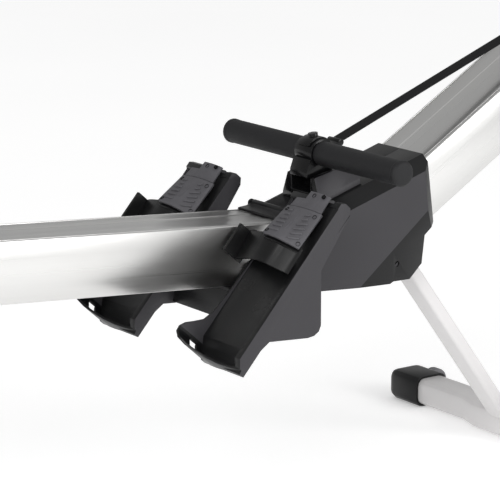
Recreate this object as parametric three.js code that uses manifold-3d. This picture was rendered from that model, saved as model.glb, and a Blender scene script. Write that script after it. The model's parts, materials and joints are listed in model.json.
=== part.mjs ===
// Folding rowing machine with an inclined aluminium seat rail and a magnetic flywheel.
// Millimetres. +X points to the flywheel, +Y to the rower's left, +Z up, floor at Z = 0.
// The whole model is centred on its footprint at the end.
import * as THREE from 'three';
import { mergeVertices } from 'three/addons/utils/BufferGeometryUtils.js';
import Module from 'manifold-3d';

const wasm = await Module();
wasm.setup();

// ---------------------------------------------------------------- driving dimensions
const GAP = 0.3;                  // clearance between pieces that touch
const RUNNING = 0.4;              // clearance round an axle in its bore

const HANDLE_HEIGHT = 548;        // handle axis above the floor, parked in its cradle
const HANDLE_LENGTH = 454;
const GRIP_RADIUS = 19.6;

const RAIL_SLOPE = 4.26;          // degrees, the rear end is the higher one
const BEAM_SLOPE = 31.1;          // degrees, rising to the flywheel
const PROFILE_WIDTH = 122;        // rail and beam share one extrusion
const PROFILE_SIDE = 64;
const PROFILE_CHAMFER = 32;
const PROFILE_INSET = 7;
const PROFILE_WALL = 3.5;
const RAIL_TOP = 449.5;           // rail top line above the floor at X = 0
const BEAM_TOP = 419.2;           // beam top line above the floor at X = 0
const RAIL_FRONT = -80;
const RAIL_LENGTH = 1275;
const BEAM_LENGTH = 535;

const HUB_HALF_WIDTH = 77;
const HUB_TOP_SLOPE = 17;
const HUB_SHELL = 3;
const BRACKET_PLATE = 4;

const PEDAL_SPACING = 284;        // centre to centre
const PEDAL_WIDTH = 120;
const PEDAL_LENGTH = 305;
const PEDAL_SLOPE = 48.3;         // degrees
const PEDAL_WALL = 4;

const LEG_WIDTH = 46;
const LEG_DEPTH = 22;
const LEG_SLOPE = 53.2;           // degrees below horizontal
const LEG_WALL = 2.5;

const FOOT_TUBE_WIDTH = 60;       // stabiliser tube, along X
const FOOT_TUBE_HEIGHT = 47;
const FRONT_FOOT_LENGTH = 620;
const REAR_FOOT_LENGTH = 520;
const CAP_WALL = 4;
const FOOT_PAD = 5;               // rubber under each end cap
const WHEEL_RADIUS = 22;
const WHEEL_WIDTH = 20;

const CASING_RADIUS = 205;
const CASING_WIDTH = 152;
const FLYWHEEL_RADIUS = 162;
const FLYWHEEL_WIDTH = 22;
const DRUM_RADIUS = 28;
const STRAP_WIDTH = 26;
const STRAP_THICKNESS = 2;
const STRAP_SLOPE = 21.1;         // degrees, rising forward from the handle

const SEAT_LENGTH = 250;
const SEAT_WIDTH = 310;
const CUSHION_THICKNESS = 44;
const SEAT_REST = 720;            // seat centre behind the rail's front end
const ROLLER_RADIUS = 16;
const ROLLER_WIDTH = 24;

// ---------------------------------------------------------------- derived places
const rad = THREE.MathUtils.degToRad;
const handleAxis = { x: 0, z: HANDLE_HEIGHT };
const profileDepth = PROFILE_SIDE + PROFILE_CHAMFER;
const bracketInner = PROFILE_WIDTH / 2 + GAP;
const bracketOuter = bracketInner + BRACKET_PLATE;
const railTopAt = (x) => RAIL_TOP - Math.tan(rad(RAIL_SLOPE)) * x;
const beamTopAt = (x) => BEAM_TOP + Math.tan(rad(BEAM_SLOPE)) * x;
const beamUnderAt = (x) => beamTopAt(x) - profileDepth / Math.cos(rad(BEAM_SLOPE));

// ---------------------------------------------------------------- materials
const finish = (color, roughness, metalness = 0) =>
  new THREE.MeshStandardMaterial({ color, roughness, metalness });
const blackPlastic = finish(0x252528, 0.45);
const greyPlastic = finish(0x6a696d, 0.6);
const foam = finish(0x2c2c2f, 0.85);
const rubber = finish(0x1d1d1e, 0.9);
const aluminium = finish(0xc9c8c5, 0.32, 1);
const whitePaint = finish(0xd6d4d3, 0.4);
const steel = finish(0x8b8d90, 0.35, 1);
const blackPaint = finish(0x232326, 0.4);
const castIron = finish(0x3b3c3f, 0.5, 0.8);
const webbing = finish(0x1b1b1c, 0.9);
const screenGlass = finish(0x39413f, 0.15);
const vinyl = finish(0x1f1f21, 0.6);

// ---------------------------------------------------------------- solids
// A closed triangle mesh as a manifold solid, turned right side out.
function toSolid(geometry) {
  const bare = geometry.index ? geometry.toNonIndexed() : geometry.clone();
  for (const name of Object.keys(bare.attributes)) {
    if (name !== 'position') bare.deleteAttribute(name);
  }
  const merged = mergeVertices(bare, 1e-4);
  const vertProperties = new Float32Array(merged.attributes.position.array);
  const triVerts = new Uint32Array(merged.index.array);
  const point = (i) => new THREE.Vector3().fromArray(vertProperties, 3 * i);
  let volume = 0;
  for (let i = 0; i < triVerts.length; i += 3) {
    const [a, b, c] = [point(triVerts[i]), point(triVerts[i + 1]), point(triVerts[i + 2])];
    volume += a.dot(b.cross(c));
  }
  if (volume < 0) {
    for (let i = 0; i < triVerts.length; i += 3) {
      [triVerts[i + 1], triVerts[i + 2]] = [triVerts[i + 2], triVerts[i + 1]];
    }
  }
  return new wasm.Manifold(new wasm.Mesh({ numProp: 3, vertProperties, triVerts }));
}

function toGeometry(solid) {
  const mesh = solid.getMesh();
  const geometry = new THREE.BufferGeometry();
  geometry.setAttribute('position', new THREE.BufferAttribute(mesh.vertProperties, 3));
  geometry.setIndex(new THREE.BufferAttribute(mesh.triVerts, 1));
  geometry.computeVertexNormals();
  return geometry;
}

const union = (...solids) => solids.reduce((whole, piece) => whole.add(piece));
const cut = (solid, ...tools) => tools.reduce((rest, tool) => rest.subtract(tool), solid);

function block(x0, x1, y0, y1, z0, z1) {
  const geometry = new THREE.BoxGeometry(x1 - x0, y1 - y0, z1 - z0);
  geometry.translate((x0 + x1) / 2, (y0 + y1) / 2, (z0 + z1) / 2);
  return toSolid(geometry);
}

// An outline of [x, z] points carried from y0 to y1.
function prismY(points, y0, y1) {
  const shape = new THREE.Shape(points.map(([x, z]) => new THREE.Vector2(x, z)));
  const geometry = new THREE.ExtrudeGeometry(shape, { depth: y1 - y0, bevelEnabled: false });
  geometry.rotateX(Math.PI / 2);
  geometry.translate(0, y1, 0);
  return toSolid(geometry);
}

// A section of [y, z] points carried from x0 to x1.
function prismX(points, x0, x1) {
  const shape = new THREE.Shape(points.map(([y, z]) => new THREE.Vector2(y, z)));
  const geometry = new THREE.ExtrudeGeometry(shape, { depth: x1 - x0, bevelEnabled: false });
  const basis = new THREE.Matrix4().makeBasis(
    new THREE.Vector3(0, 1, 0), new THREE.Vector3(0, 0, 1), new THREE.Vector3(1, 0, 0));
  geometry.applyMatrix4(basis);
  geometry.translate(x0, 0, 0);
  return toSolid(geometry);
}

// A round bar between two points.
function rod(radius, from, to, segments = 24) {
  const start = new THREE.Vector3(...from);
  const line = new THREE.Vector3(...to).sub(start);
  const geometry = new THREE.CylinderGeometry(radius, radius, line.length(), segments);
  const turn = new THREE.Quaternion().setFromUnitVectors(
    new THREE.Vector3(0, 1, 0), line.clone().normalize());
  geometry.applyQuaternion(turn);
  geometry.translate(...start.addScaledVector(line, 0.5).toArray());
  return toSolid(geometry);
}

const rodY = (radius, x, z, y0, y1, segments = 24) =>
  rod(radius, [x, y0, z], [x, y1, z], segments);

// A turned piece: [radius, y] profile spun about a Y axis through (x, z).
function turnedY(profile, x, z, segments = 24) {
  const geometry = new THREE.LatheGeometry(
    profile.map(([r, y]) => new THREE.Vector2(r, y)), segments);
  geometry.translate(x, 0, z);
  return toSolid(geometry);
}

// Rings of equal point count joined into one closed skin.
function loft(rings) {
  const count = rings[0].length;
  const positions = rings.flat().flatMap((p) => [p[0], p[1], p[2]]);
  const index = [];
  for (let i = 0; i + 1 < rings.length; i++) {
    for (let j = 0; j < count; j++) {
      const k = (j + 1) % count;
      const a = i * count;
      index.push(a + j, a + count + j, a + k, a + k, a + count + j, a + count + k);
    }
  }
  for (const [ring, flip] of [[0, false], [rings.length - 1, true]]) {
    const centre = positions.length / 3;
    for (const axis of [0, 1, 2]) {
      positions.push(rings[ring].reduce((sum, p) => sum + p[axis], 0) / count);
    }
    for (let j = 0; j < count; j++) {
      const a = ring * count + j;
      const b = ring * count + (j + 1) % count;
      index.push(...(flip ? [centre, b, a] : [centre, a, b]));
    }
  }
  const geometry = new THREE.BufferGeometry();
  geometry.setAttribute('position', new THREE.Float32BufferAttribute(positions, 3));
  geometry.setIndex(index);
  return toSolid(geometry);
}

// A bent sheet: surface(s, t) gives a point for s and t from 0 to 1, and the sheet lies under it.
function slab(surface, thickness, sSteps, tSteps) {
  const at = (i, j) => new THREE.Vector3(...surface(i / sSteps, j / tSteps));
  const clamp = (value, limit) => Math.min(limit, Math.max(0, value));
  const faces = [[], []];
  for (let i = 0; i <= sSteps; i++) {
    for (let j = 0; j <= tSteps; j++) {
      const alongS = at(clamp(i + 1, sSteps), j).sub(at(clamp(i - 1, sSteps), j));
      const alongT = at(i, clamp(j + 1, tSteps)).sub(at(i, clamp(j - 1, tSteps)));
      const normal = alongS.cross(alongT).normalize();
      faces[0].push(at(i, j));
      faces[1].push(at(i, j).addScaledVector(normal, -thickness));
    }
  }
  const points = faces.flat();
  const row = tSteps + 1;
  const under = (sSteps + 1) * row;
  const index = [];
  const quad = (a, b, c, d) => index.push(a, b, c, a, c, d);
  for (let i = 0; i < sSteps; i++) {
    for (let j = 0; j < tSteps; j++) {
      const a = i * row + j;
      quad(a, a + row, a + row + 1, a + 1);
      quad(under + a, under + a + 1, under + a + row + 1, under + a + row);
    }
    for (const [j, flip] of [[0, false], [tSteps, true]]) {
      const a = i * row + j;
      const corners = [a, under + a, under + a + row, a + row];
      quad(...(flip ? corners.reverse() : corners));
    }
  }
  for (let j = 0; j < tSteps; j++) {
    for (const [i, flip] of [[0, true], [sSteps, false]]) {
      const a = i * row + j;
      const corners = [a, under + a, under + a + 1, a + 1];
      quad(...(flip ? corners.reverse() : corners));
    }
  }
  const geometry = new THREE.BufferGeometry();
  geometry.setAttribute('position', new THREE.Float32BufferAttribute(
    points.flatMap((point) => point.toArray()), 3));
  geometry.setIndex(index);
  return toSolid(geometry);
}

// A point part of the way along a list of points, by share of the list.
function along(points, share) {
  const place = share * (points.length - 1);
  const i = Math.min(points.length - 2, Math.max(0, Math.floor(place)));
  return points[i].map((value, k) => value + (points[i + 1][k] - value) * (place - i));
}

// A rectangle with round corners, centred, as [u, v] points.
function roundRect(width, height, radius, steps = 4) {
  const points = [];
  const corners = [[1, 1, 0], [-1, 1, 90], [-1, -1, 180], [1, -1, 270]];
  for (const [su, sv, start] of corners) {
    for (let i = 0; i <= steps; i++) {
      const angle = rad(start + 90 * i / steps);
      points.push([
        su * (width / 2 - radius) + radius * Math.cos(angle),
        sv * (height / 2 - radius) + radius * Math.sin(angle),
      ]);
    }
  }
  return points;
}

// An arc of [x, z] points about (x, z), angles in degrees.
function arc(x, z, radius, from, to, steps) {
  return Array.from({ length: steps + 1 }, (unused, i) => {
    const angle = rad(from + (to - from) * i / steps);
    return [x + radius * Math.cos(angle), z + radius * Math.sin(angle)];
  });
}

// A closed outline of [x, z] points, moved inwards by a distance.
function inset(points, distance) {
  const area = points.reduce((sum, [x, z], i) => {
    const [u, w] = points[(i + 1) % points.length];
    return sum + x * w - u * z;
  }, 0);
  const side = Math.sign(area) * distance;
  return points.map((point, i) => {
    const before = points[(i + points.length - 1) % points.length];
    const after = points[(i + 1) % points.length];
    const edge = (p, q) => new THREE.Vector2(q[0] - p[0], q[1] - p[1]).normalize();
    const [a, b] = [edge(before, point), edge(point, after)];
    const normal = new THREE.Vector2(-a.y - b.y, a.x + b.x).normalize();
    const reach = side / Math.max(0.3, normal.x * -a.y + normal.y * a.x);
    return [point[0] + normal.x * reach, point[1] + normal.y * reach];
  });
}

// Everything on the outer side of a plane, as a big block to cut away.
function beyondPlane(point, normal) {
  const size = 3000;
  const geometry = new THREE.BoxGeometry(size, size, size);
  geometry.translate(0, size / 2, 0);
  geometry.applyQuaternion(new THREE.Quaternion().setFromUnitVectors(
    new THREE.Vector3(0, 1, 0), new THREE.Vector3(...normal).normalize()));
  geometry.translate(...point);
  return toSolid(geometry);
}

// A solid made in a sloping frame, brought to the machine's frame.
function placed(solid, x, z, slopeDown) {
  return solid.rotate([0, slopeDown, 0]).translate([x, 0, z]);
}

// ---------------------------------------------------------------- scene graph
const machine = new THREE.Group();

function add(name, solid, material) {
  const mesh = new THREE.Mesh(toGeometry(solid), material.clone());
  mesh.name = name;
  machine.add(mesh);
}

// ---------------------------------------------------------------- rail and beam extrusion
// Section with its top at z = 0: round rims, two roller tracks, a shallow middle.
const RIM_WIDTH = 4;
const GROOVE_WIDTH = 4.5;
const GROOVE_DEPTH = 2.5;
const TRACK_INNER = 21;
function profileOutline() {
  const half = PROFILE_WIDTH / 2;
  const foot = half - PROFILE_INSET;
  const right = [
    [foot, -profileDepth],
    [half, -PROFILE_SIDE],
    [half, -2.5],
    [half - 0.8, -0.8],
    [half - 2.5, 0],
    [half - RIM_WIDTH, 0],
    [half - RIM_WIDTH, -GROOVE_DEPTH],
    [half - RIM_WIDTH - GROOVE_WIDTH, -GROOVE_DEPTH],
    [half - RIM_WIDTH - GROOVE_WIDTH, -0.4],
    [TRACK_INNER, -0.4],
    [TRACK_INNER - 1, -1.4],
  ];
  const left = right.map(([y, z]) => [-y, z]).reverse();
  return [...right, ...left];
}

function profileHollow() {
  const half = PROFILE_WIDTH / 2 - PROFILE_WALL;
  const foot = half - PROFILE_INSET + 0.8;
  const top = -PROFILE_WALL - GROOVE_DEPTH;
  return [
    [foot, -profileDepth + PROFILE_WALL],
    [half, -PROFILE_SIDE],
    [half, top],
    [-half, top],
    [-half, -PROFILE_SIDE],
    [-foot, -profileDepth + PROFILE_WALL],
  ];
}

// A plain tool that clears the whole section by a distance.
function profileHole(grow, x0, x1) {
  const half = PROFILE_WIDTH / 2 + grow;
  const foot = half - PROFILE_INSET;
  return prismX([
    [foot, -profileDepth - grow],
    [half, -PROFILE_SIDE],
    [half, grow],
    [-half, grow],
    [-half, -PROFILE_SIDE],
    [-foot, -profileDepth - grow],
  ], x0, x1);
}

const extrusion = (x0, x1) =>
  cut(prismX(profileOutline(), x0, x1), prismX(profileHollow(), x0 - 1, x1 + 1));

// The rail's frame has its origin on the rail's top line at the front end.
const railFront = { x: RAIL_FRONT, z: railTopAt(RAIL_FRONT) };
const onRail = (solid) => placed(solid, railFront.x, railFront.z, RAIL_SLOPE);
const beamStart = 62;
const onBeam = (solid) => placed(solid, beamStart, beamTopAt(beamStart), -BEAM_SLOPE);

function makeRail() {
  const capDepth = 18;
  add('seat_rail', onRail(extrusion(-RAIL_LENGTH, 0)), aluminium);
  const capOutline = profileOutline().filter((point, i) => ![5, 6, 7, 8].includes(i)
    && ![13, 14, 15, 16].includes(i));
  const cap = prismX(capOutline.map(([y, z]) => [y * 1.01, z * 1.01 + 0.6]),
    -RAIL_LENGTH - capDepth, -RAIL_LENGTH - GAP);
  const upstand = prismY([[-RAIL_LENGTH - GAP, -4], [-RAIL_LENGTH - GAP, 26],
    [-RAIL_LENGTH - 5, 30], [-RAIL_LENGTH - 12, 26], [-RAIL_LENGTH - capDepth, -2]], -34, 34);
  const rounded = cut(cap,
    beyondPlane([-RAIL_LENGTH - capDepth, 0, -8], [-1, 0, 1.4]),
    beyondPlane([-RAIL_LENGTH - capDepth, 0, -profileDepth + 8], [-1, 0, -1.4]));
  add('rail_end_cap', onRail(union(rounded, upstand)), blackPlastic);
}

// ---------------------------------------------------------------- fold hinge
const HINGE_RISE = 7.5;           // pin axis above the rail top
const HINGE_BACK = 6;             // pin axis ahead of the rail's front end
const PIN_RADIUS = 4;
const KNUCKLE_RADIUS = 6.8;
const LEAF_LENGTH = 26;
const hinge = onRailPoint(HINGE_BACK, HINGE_RISE);

function onRailPoint(x, z) {
  const angle = rad(RAIL_SLOPE);
  return {
    x: railFront.x + x * Math.cos(angle) + z * Math.sin(angle),
    z: railFront.z - x * Math.sin(angle) + z * Math.cos(angle),
  };
}

function makeHinge() {
  const half = PROFILE_WIDTH / 2 - 1;
  const knuckle = rodY(KNUCKLE_RADIUS, HINGE_BACK, HINGE_RISE, -half, half, 28);
  const leaf = prismY([
    [-LEAF_LENGTH, GAP],
    [HINGE_BACK, GAP],
    [HINGE_BACK, HINGE_RISE + 4],
    [-LEAF_LENGTH + 16, 5.5],
    [-LEAF_LENGTH + 2, 3.5],
    [-LEAF_LENGTH, 2],
  ], -half, half);
  const bore = rodY(PIN_RADIUS + RUNNING, HINGE_BACK, HINGE_RISE, -half - 1, half + 1);
  add('hinge_knuckle', onRail(cut(union(knuckle, leaf), bore)), blackPlastic);
  const pin = rodY(PIN_RADIUS, HINGE_BACK, HINGE_RISE, -bracketOuter - 1, bracketOuter + 1);
  const head = rodY(PIN_RADIUS + 2.5, HINGE_BACK, HINGE_RISE, bracketOuter + GAP, bracketOuter + 4);
  add('hinge_pin', onRail(union(pin, head)), blackPaint);
}

// ---------------------------------------------------------------- hub: steel bracket
const WEB_THICKNESS = 5;
const BRACKET_FRONT = 188;        // in the rail's frame
const PLATE_REAR = -88;
const CROSSMEMBER_REAR = -124;    // in the rail's frame
const CROSSMEMBER_FRONT = -62;
const CROSSMEMBER_HEIGHT = 46;
const webTop = -profileDepth - GAP;
const crossmemberTop = webTop - WEB_THICKNESS - GAP;
const legAxisFoot = { x: 405, z: 44 };

function makeHubBracket() {
  // Outline of each side plate in the rail's frame, from the saddle to the beam.
  const plate = [
    [PLATE_REAR, webTop - WEB_THICKNESS],
    [BRACKET_FRONT, webTop - WEB_THICKNESS],
    [BRACKET_FRONT, webTop + 20],
    [BRACKET_FRONT - 15, -20],
    [110, -20],
    [60, -12],
    [HINGE_BACK + 13, -4],
    [HINGE_BACK + 6, HINGE_RISE + 5],
    [HINGE_BACK - 6, HINGE_RISE + 5],
    [HINGE_BACK - 12, -14],
    [PLATE_REAR, -PROFILE_SIDE],
  ];
  const sides = [-1, 1].map((side) => prismY(plate,
    Math.min(side * bracketInner, side * bracketOuter),
    Math.max(side * bracketInner, side * bracketOuter)));
  const web = block(CROSSMEMBER_REAR, BRACKET_FRONT, -bracketOuter, bracketOuter,
    webTop - WEB_THICKNESS, webTop);
  const bulkhead = block(HINGE_BACK + 14, HINGE_BACK + 18, -bracketOuter, bracketOuter,
    webTop - 1, -12);
  const pinHole = rodY(PIN_RADIUS + RUNNING, HINGE_BACK, HINGE_RISE,
    -bracketOuter - 2, bracketOuter + 2);
  const screwHole = rod(SCREW_RADIUS + RUNNING, [LOCK_X, 0, webTop - 20], [LOCK_X, 0, webTop + 5]);
  const bracket = cut(union(web, bulkhead, ...sides), pinHole, screwHole);
  return cut(onRail(bracket), legSolid(0, LEG_DEPTH / 2 + GAP, 1));
}

// ---------------------------------------------------------------- fold lock knob
const LOCK_X = -30;               // in the rail's frame
const SCREW_RADIUS = 5;
function makeLockKnob() {
  const top = webTop + GAP / 2;
  const screw = rod(SCREW_RADIUS, [LOCK_X, 0, webTop - 26], [LOCK_X, 0, top], 16);
  const lobes = [0, 1, 2, 3, 4].map((i) => {
    const angle = rad(72 * i);
    const [x, y] = [LOCK_X + 11 * Math.cos(angle), 11 * Math.sin(angle)];
    return rod(8, [x, y, webTop - 34], [x, y, webTop - 16], 12);
  });
  const hub = rod(12, [LOCK_X, 0, webTop - 34], [LOCK_X, 0, webTop - 12], 20);
  add('rail_lock_knob', onRail(union(screw, hub, ...lobes)), blackPlastic);
}

// ---------------------------------------------------------------- front leg
// A tube in its own frame: z runs down the leg, x across its depth, and it is then tilted.
const legDirection = { x: Math.cos(rad(LEG_SLOPE)), z: -Math.sin(rad(LEG_SLOPE)) };

function legSolid(wall, halfDepth = LEG_DEPTH / 2, grow = 0) {
  const section = roundRect(2 * halfDepth - 2 * wall, LEG_WIDTH + 2 * grow - 2 * wall, 5 - wall, 4);
  const ring = (distance) => section.map(([u, y]) => [
    legAxisFoot.x - distance * legDirection.x + u * Math.sin(rad(LEG_SLOPE)),
    y,
    legAxisFoot.z - distance * legDirection.z + u * Math.cos(rad(LEG_SLOPE)),
  ]);
  return loft([ring(-60), ring(520)]);
}

function makeFrontLeg() {
  const slope = rad(BEAM_SLOPE);
  const beamUnder = beyondPlane([0, 0, beamUnderAt(0) - 2 * GAP], [-Math.sin(slope), 0, Math.cos(slope)]);
  const tube = cut(legSolid(0), legSolid(LEG_WALL));
  const foot = footTube(FRONT_FOOT_LENGTH, frontFootCentre, GAP, true);
  const flange = cut(legSolid(0), beyondPlane([legAxisFoot.x, 0, legAxisFoot.z + 6], [0, 0, 1]));
  add('front_leg', cut(union(tube, flange), beamUnder, foot,
    block(300, 600, -100, 100, -100, 28)), whitePaint);
}

// ---------------------------------------------------------------- stabilisers
// Middle line of a stabiliser: straight in the middle, its ends swept by `sweep` along X.
const frontFootCentre = (y) => {
  const bend = Math.min(1, Math.max(0, (Math.abs(y) - 70) / 40));
  return 425 + 13 * bend;
};
const rearFootX = onRailPoint(-RAIL_LENGTH + 62, 0).x;
const rearFootCentre = () => rearFootX;

const CAP_LENGTH = 82;
function footTube(length, centreAt, grow, solidBody) {
  const half = length / 2 - CAP_LENGTH + 30;
  const stations = [-half, -110, -90, -70, 70, 90, 110, half];
  const ringAt = (wall) => stations.map((y) => roundRect(
    FOOT_TUBE_WIDTH + 2 * grow - 2 * wall, FOOT_TUBE_HEIGHT + 2 * grow - 2 * wall,
    13 + grow - wall, 3).map(([u, v]) => [
    centreAt(y) + u, y * (1 + 0.01 * (wall > 0 ? 1 : 0)), FOOT_PAD + FOOT_TUBE_HEIGHT / 2 + v]));
  const skin = loft(ringAt(0));
  return solidBody ? skin : cut(skin, loft(ringAt(2.5)));
}

function footCap(side, length, centreAt, wheel) {
  const outer = length / 2;
  const inner = outer - CAP_LENGTH;
  const x = centreAt(outer);
  const middle = FOOT_PAD + FOOT_TUBE_HEIGHT / 2;
  const ring = (y, shrink) => roundRect(FOOT_TUBE_WIDTH + 2 * CAP_WALL - 2 * shrink,
    FOOT_TUBE_HEIGHT + 2 * CAP_WALL - 2 * shrink, Math.max(3, 14 - shrink / 2), 3)
    .map(([u, v]) => [x + u, side * y, middle + v]);
  const shell = loft([ring(inner, 0), ring(outer - 16, 0), ring(outer - 6, 3), ring(outer, 12)]);
  const pad = block(x - 20, x + 20, ...[side * (inner + 12), side * (outer - 14)].sort((a, b) => a - b),
    0, middle);
  const tools = [footTube(length, centreAt, GAP, true)];
  let body = union(shell, pad);
  if (wheel) {
    const axleX = x + FOOT_TUBE_WIDTH / 2 + 20;
    const wheelY = outer - 30;
    for (const offset of [-1, 1]) {
      const y = side * (wheelY + offset * (WHEEL_WIDTH / 2 + 1 + 3));
      const lug = prismY([
        [x, middle + 12],
        [axleX - 4, wheelCentreZ + 9],
        ...arc(axleX, wheelCentreZ, 9, 90, -90, 6),
        [x, middle - 14],
      ], y - 3, y + 3);
      body = union(body, lug);
    }
    const wheelWell = rodY(WHEEL_RADIUS + 2, axleX, wheelCentreZ,
      side * wheelY - WHEEL_WIDTH / 2 - 1, side * wheelY + WHEEL_WIDTH / 2 + 1);
    body = cut(body, wheelWell);
    body = union(body, rodY(4, axleX, wheelCentreZ,
      side * wheelY - WHEEL_WIDTH / 2 - 5, side * wheelY + WHEEL_WIDTH / 2 + 5));
  }
  return cut(body, ...tools);
}

const wheelCentreZ = WHEEL_RADIUS + 5;
function makeWheel(side) {
  const outer = FRONT_FOOT_LENGTH / 2;
  const x = frontFootCentre(outer) + FOOT_TUBE_WIDTH / 2 + 20;
  const y = side * (outer - 30);
  const half = WHEEL_WIDTH / 2;
  const bore = 4 + RUNNING;
  return turnedY([
    [bore, y - half], [WHEEL_RADIUS - 2, y - half], [WHEEL_RADIUS, y - half + 2],
    [WHEEL_RADIUS, y + half - 2], [WHEEL_RADIUS - 2, y + half], [bore, y + half], [bore, y - half],
  ], x, wheelCentreZ);
}

function makeStabilisers() {
  add('front_stabilizer', footTube(FRONT_FOOT_LENGTH, frontFootCentre, 0, false), whitePaint);
  add('rear_stabilizer', footTube(REAR_FOOT_LENGTH, rearFootCentre, 0, false), whitePaint);
  for (const [name, side] of [['left', 1], ['right', -1]]) {
    add(`front_end_cap_${name}`, footCap(side, FRONT_FOOT_LENGTH, frontFootCentre, true), blackPlastic);
    add(`rear_end_cap_${name}`, footCap(side, REAR_FOOT_LENGTH, rearFootCentre, false), blackPlastic);
    add(`transport_wheel_${name}`, makeWheel(side), greyPlastic);
  }
}

// ---------------------------------------------------------------- rear leg
function makeRearLeg() {
  const top = railTopAt(rearFootX) - profileDepth / Math.cos(rad(RAIL_SLOPE)) - GAP;
  const outer = (wall) => roundRect(LEG_WIDTH - 2 * wall, LEG_WIDTH - 2 * wall, 6 - wall / 2, 4);
  const column = (wall, z0, z1) => loft([z0, z1].map((z) =>
    outer(wall).map(([u, v]) => [rearFootX + u, v, z])));
  const tube = cut(column(0, 10, top - 8), column(LEG_WALL, 0, top - 20));
  const flange = onRail(block(-RAIL_LENGTH + 12, -RAIL_LENGTH + 112, -50, 50,
    -profileDepth - GAP - 6, -profileDepth - GAP));
  const foot = footTube(REAR_FOOT_LENGTH, rearFootCentre, GAP, true);
  const brace = prismY([
    [rearFootX + 20, top - 150],
    [rearFootX + 48, top - 2],
    [rearFootX + 18, top - 2],
  ], -3, 3);
  add('rear_leg', cut(union(cut(union(tube, brace), beyondPlane([rearFootX, 0, top - 3],
    [Math.sin(rad(RAIL_SLOPE)), 0, Math.cos(rad(RAIL_SLOPE))])), flange),
    foot, block(rearFootX - 60, rearFootX + 60, -60, 60, 0, FOOT_PAD + FOOT_TUBE_HEIGHT / 2)), whitePaint);
}

// ---------------------------------------------------------------- hub covers
const hubOutline = [
  [-62, 343],
  [-62, 461],
  [175, 461 + 237 * Math.tan(rad(HUB_TOP_SLOPE))],
  [193, 421],
  [170, 403],
  [170, 355],
  [146, 332],
  [109, 334],
  [102, 331],
];

// The faceted outer form, or the same form shrunk by the shell's thickness.
function hubForm(shrink) {
  const half = HUB_HALF_WIDTH - shrink;
  let form = prismY(shrink ? inset(hubOutline, shrink) : hubOutline, -half, half);
  const slope = rad(HUB_TOP_SLOPE);
  const up = [-Math.sin(slope), 0, Math.cos(slope)];
  for (const side of [-1, 1]) {
    const y = side * half;
    const facets = [
      { point: [17, y, 465 - shrink], normal: [0.83 * up[0], side * 0.83, 0.56 * up[2] + 0.27] },
      { point: [100, y, 388], normal: [0.11, side * 0.985, -0.14] },
      { point: [168, y, 480], normal: [0.55, side * 0.83, 0.06] },
    ];
    for (const { point, normal } of facets) {
      form = cut(form, beyondPlane(point, normal));
    }
  }
  return form;
}

function makeHubCovers() {
  const beamHole = onBeam(profileHole(GAP, -40, 300));
  const legHole = legSolid(0, LEG_DEPTH / 2 + 1.5, 1.5);
  const rearMouth = block(-100, -42, -bracketOuter - GAP, bracketOuter + GAP, 348, 452);
  const cavity = hubForm(HUB_SHELL);
  const sheet = cut(hubForm(0), cavity, beamHole, legHole, rearMouth, cradleFoot(GAP));
  const screwPocket = [-1, 1].map((side) => rodY(5, 113, 363,
    ...[side * (HUB_HALF_WIDTH - 8), side * (HUB_HALF_WIDTH + 5)].sort((a, b) => a - b), 16));
  for (const [name, side] of [['left', 1], ['right', -1]]) {
    const half = side > 0 ? block(-200, 400, -400, GAP / 2, 0, 900)
      : block(-200, 400, -GAP / 2, 400, 0, 900);
    add(`hub_cover_${name}`, cut(sheet, half, ...screwPocket), blackPlastic);
  }
}

// ---------------------------------------------------------------- handle cradle
const CRADLE_REAR = -26;
const CRADLE_FRONT = 56;
const CHANNEL_HALF = 25;
const hubTopAt = (x) => 461 + (x + 62) * Math.tan(rad(HUB_TOP_SLOPE));
const channelFloorAt = (x) => hubTopAt(x) + 15;

function cradleFoot(grow) {
  return block(CRADLE_REAR + 6 - grow, CRADLE_FRONT - 8 + grow, -30 - grow, 30 + grow, 440, 500);
}

function makeCradle() {
  const sectionAt = (x, rise) => {
    const base = hubTopAt(x) + GAP * 1.2;
    const top = hubTopAt(x) + rise;
    return [
      [x, -50, base], [x, 50, base], [x, 48, base + 9], [x, 36, top],
      [x, CHANNEL_HALF + 1, top], [x, CHANNEL_HALF, top - 2],
      [x, CHANNEL_HALF, channelFloorAt(x)], [x, -CHANNEL_HALF, channelFloorAt(x)],
      [x, -CHANNEL_HALF, top - 2], [x, -CHANNEL_HALF - 1, top], [x, -36, top], [x, -48, base + 9],
    ];
  };
  const sections = [sectionAt(CRADLE_REAR, 41), sectionAt(16, 38), sectionAt(CRADLE_FRONT, 22)];
  const bodies = [];
  for (let i = 0; i + 1 < sections.length; i++) {
    bodies.push(loftSection(sections[i], sections[i + 1]));
  }
  const foot = cut(cradleFoot(0), beyondPlane([0, 0, hubTopAt(0) + 6],
    [-Math.sin(rad(HUB_TOP_SLOPE)), 0, Math.cos(rad(HUB_TOP_SLOPE))]), block(-100, 100, -60, 60, 0, 462));
  add('handle_cradle', union(...bodies, foot), blackPlastic);
}

// Two matching concave sections joined, with their end faces triangulated as shapes.
function loftSection(a, b) {
  const count = a.length;
  const positions = [...a, ...b].flat();
  const faces = THREE.ShapeUtils.triangulateShape(a.map((p) => new THREE.Vector2(p[1], p[2])), []);
  const index = [];
  for (const [i, j, k] of faces) {
    index.push(i, j, k, count + i, count + k, count + j);
  }
  for (let j = 0; j < count; j++) {
    const k = (j + 1) % count;
    index.push(j, count + j, k, k, count + j, count + k);
  }
  const geometry = new THREE.BufferGeometry();
  geometry.setAttribute('position', new THREE.Float32BufferAttribute(positions, 3));
  geometry.setIndex(index);
  return toSolid(geometry);
}

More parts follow.
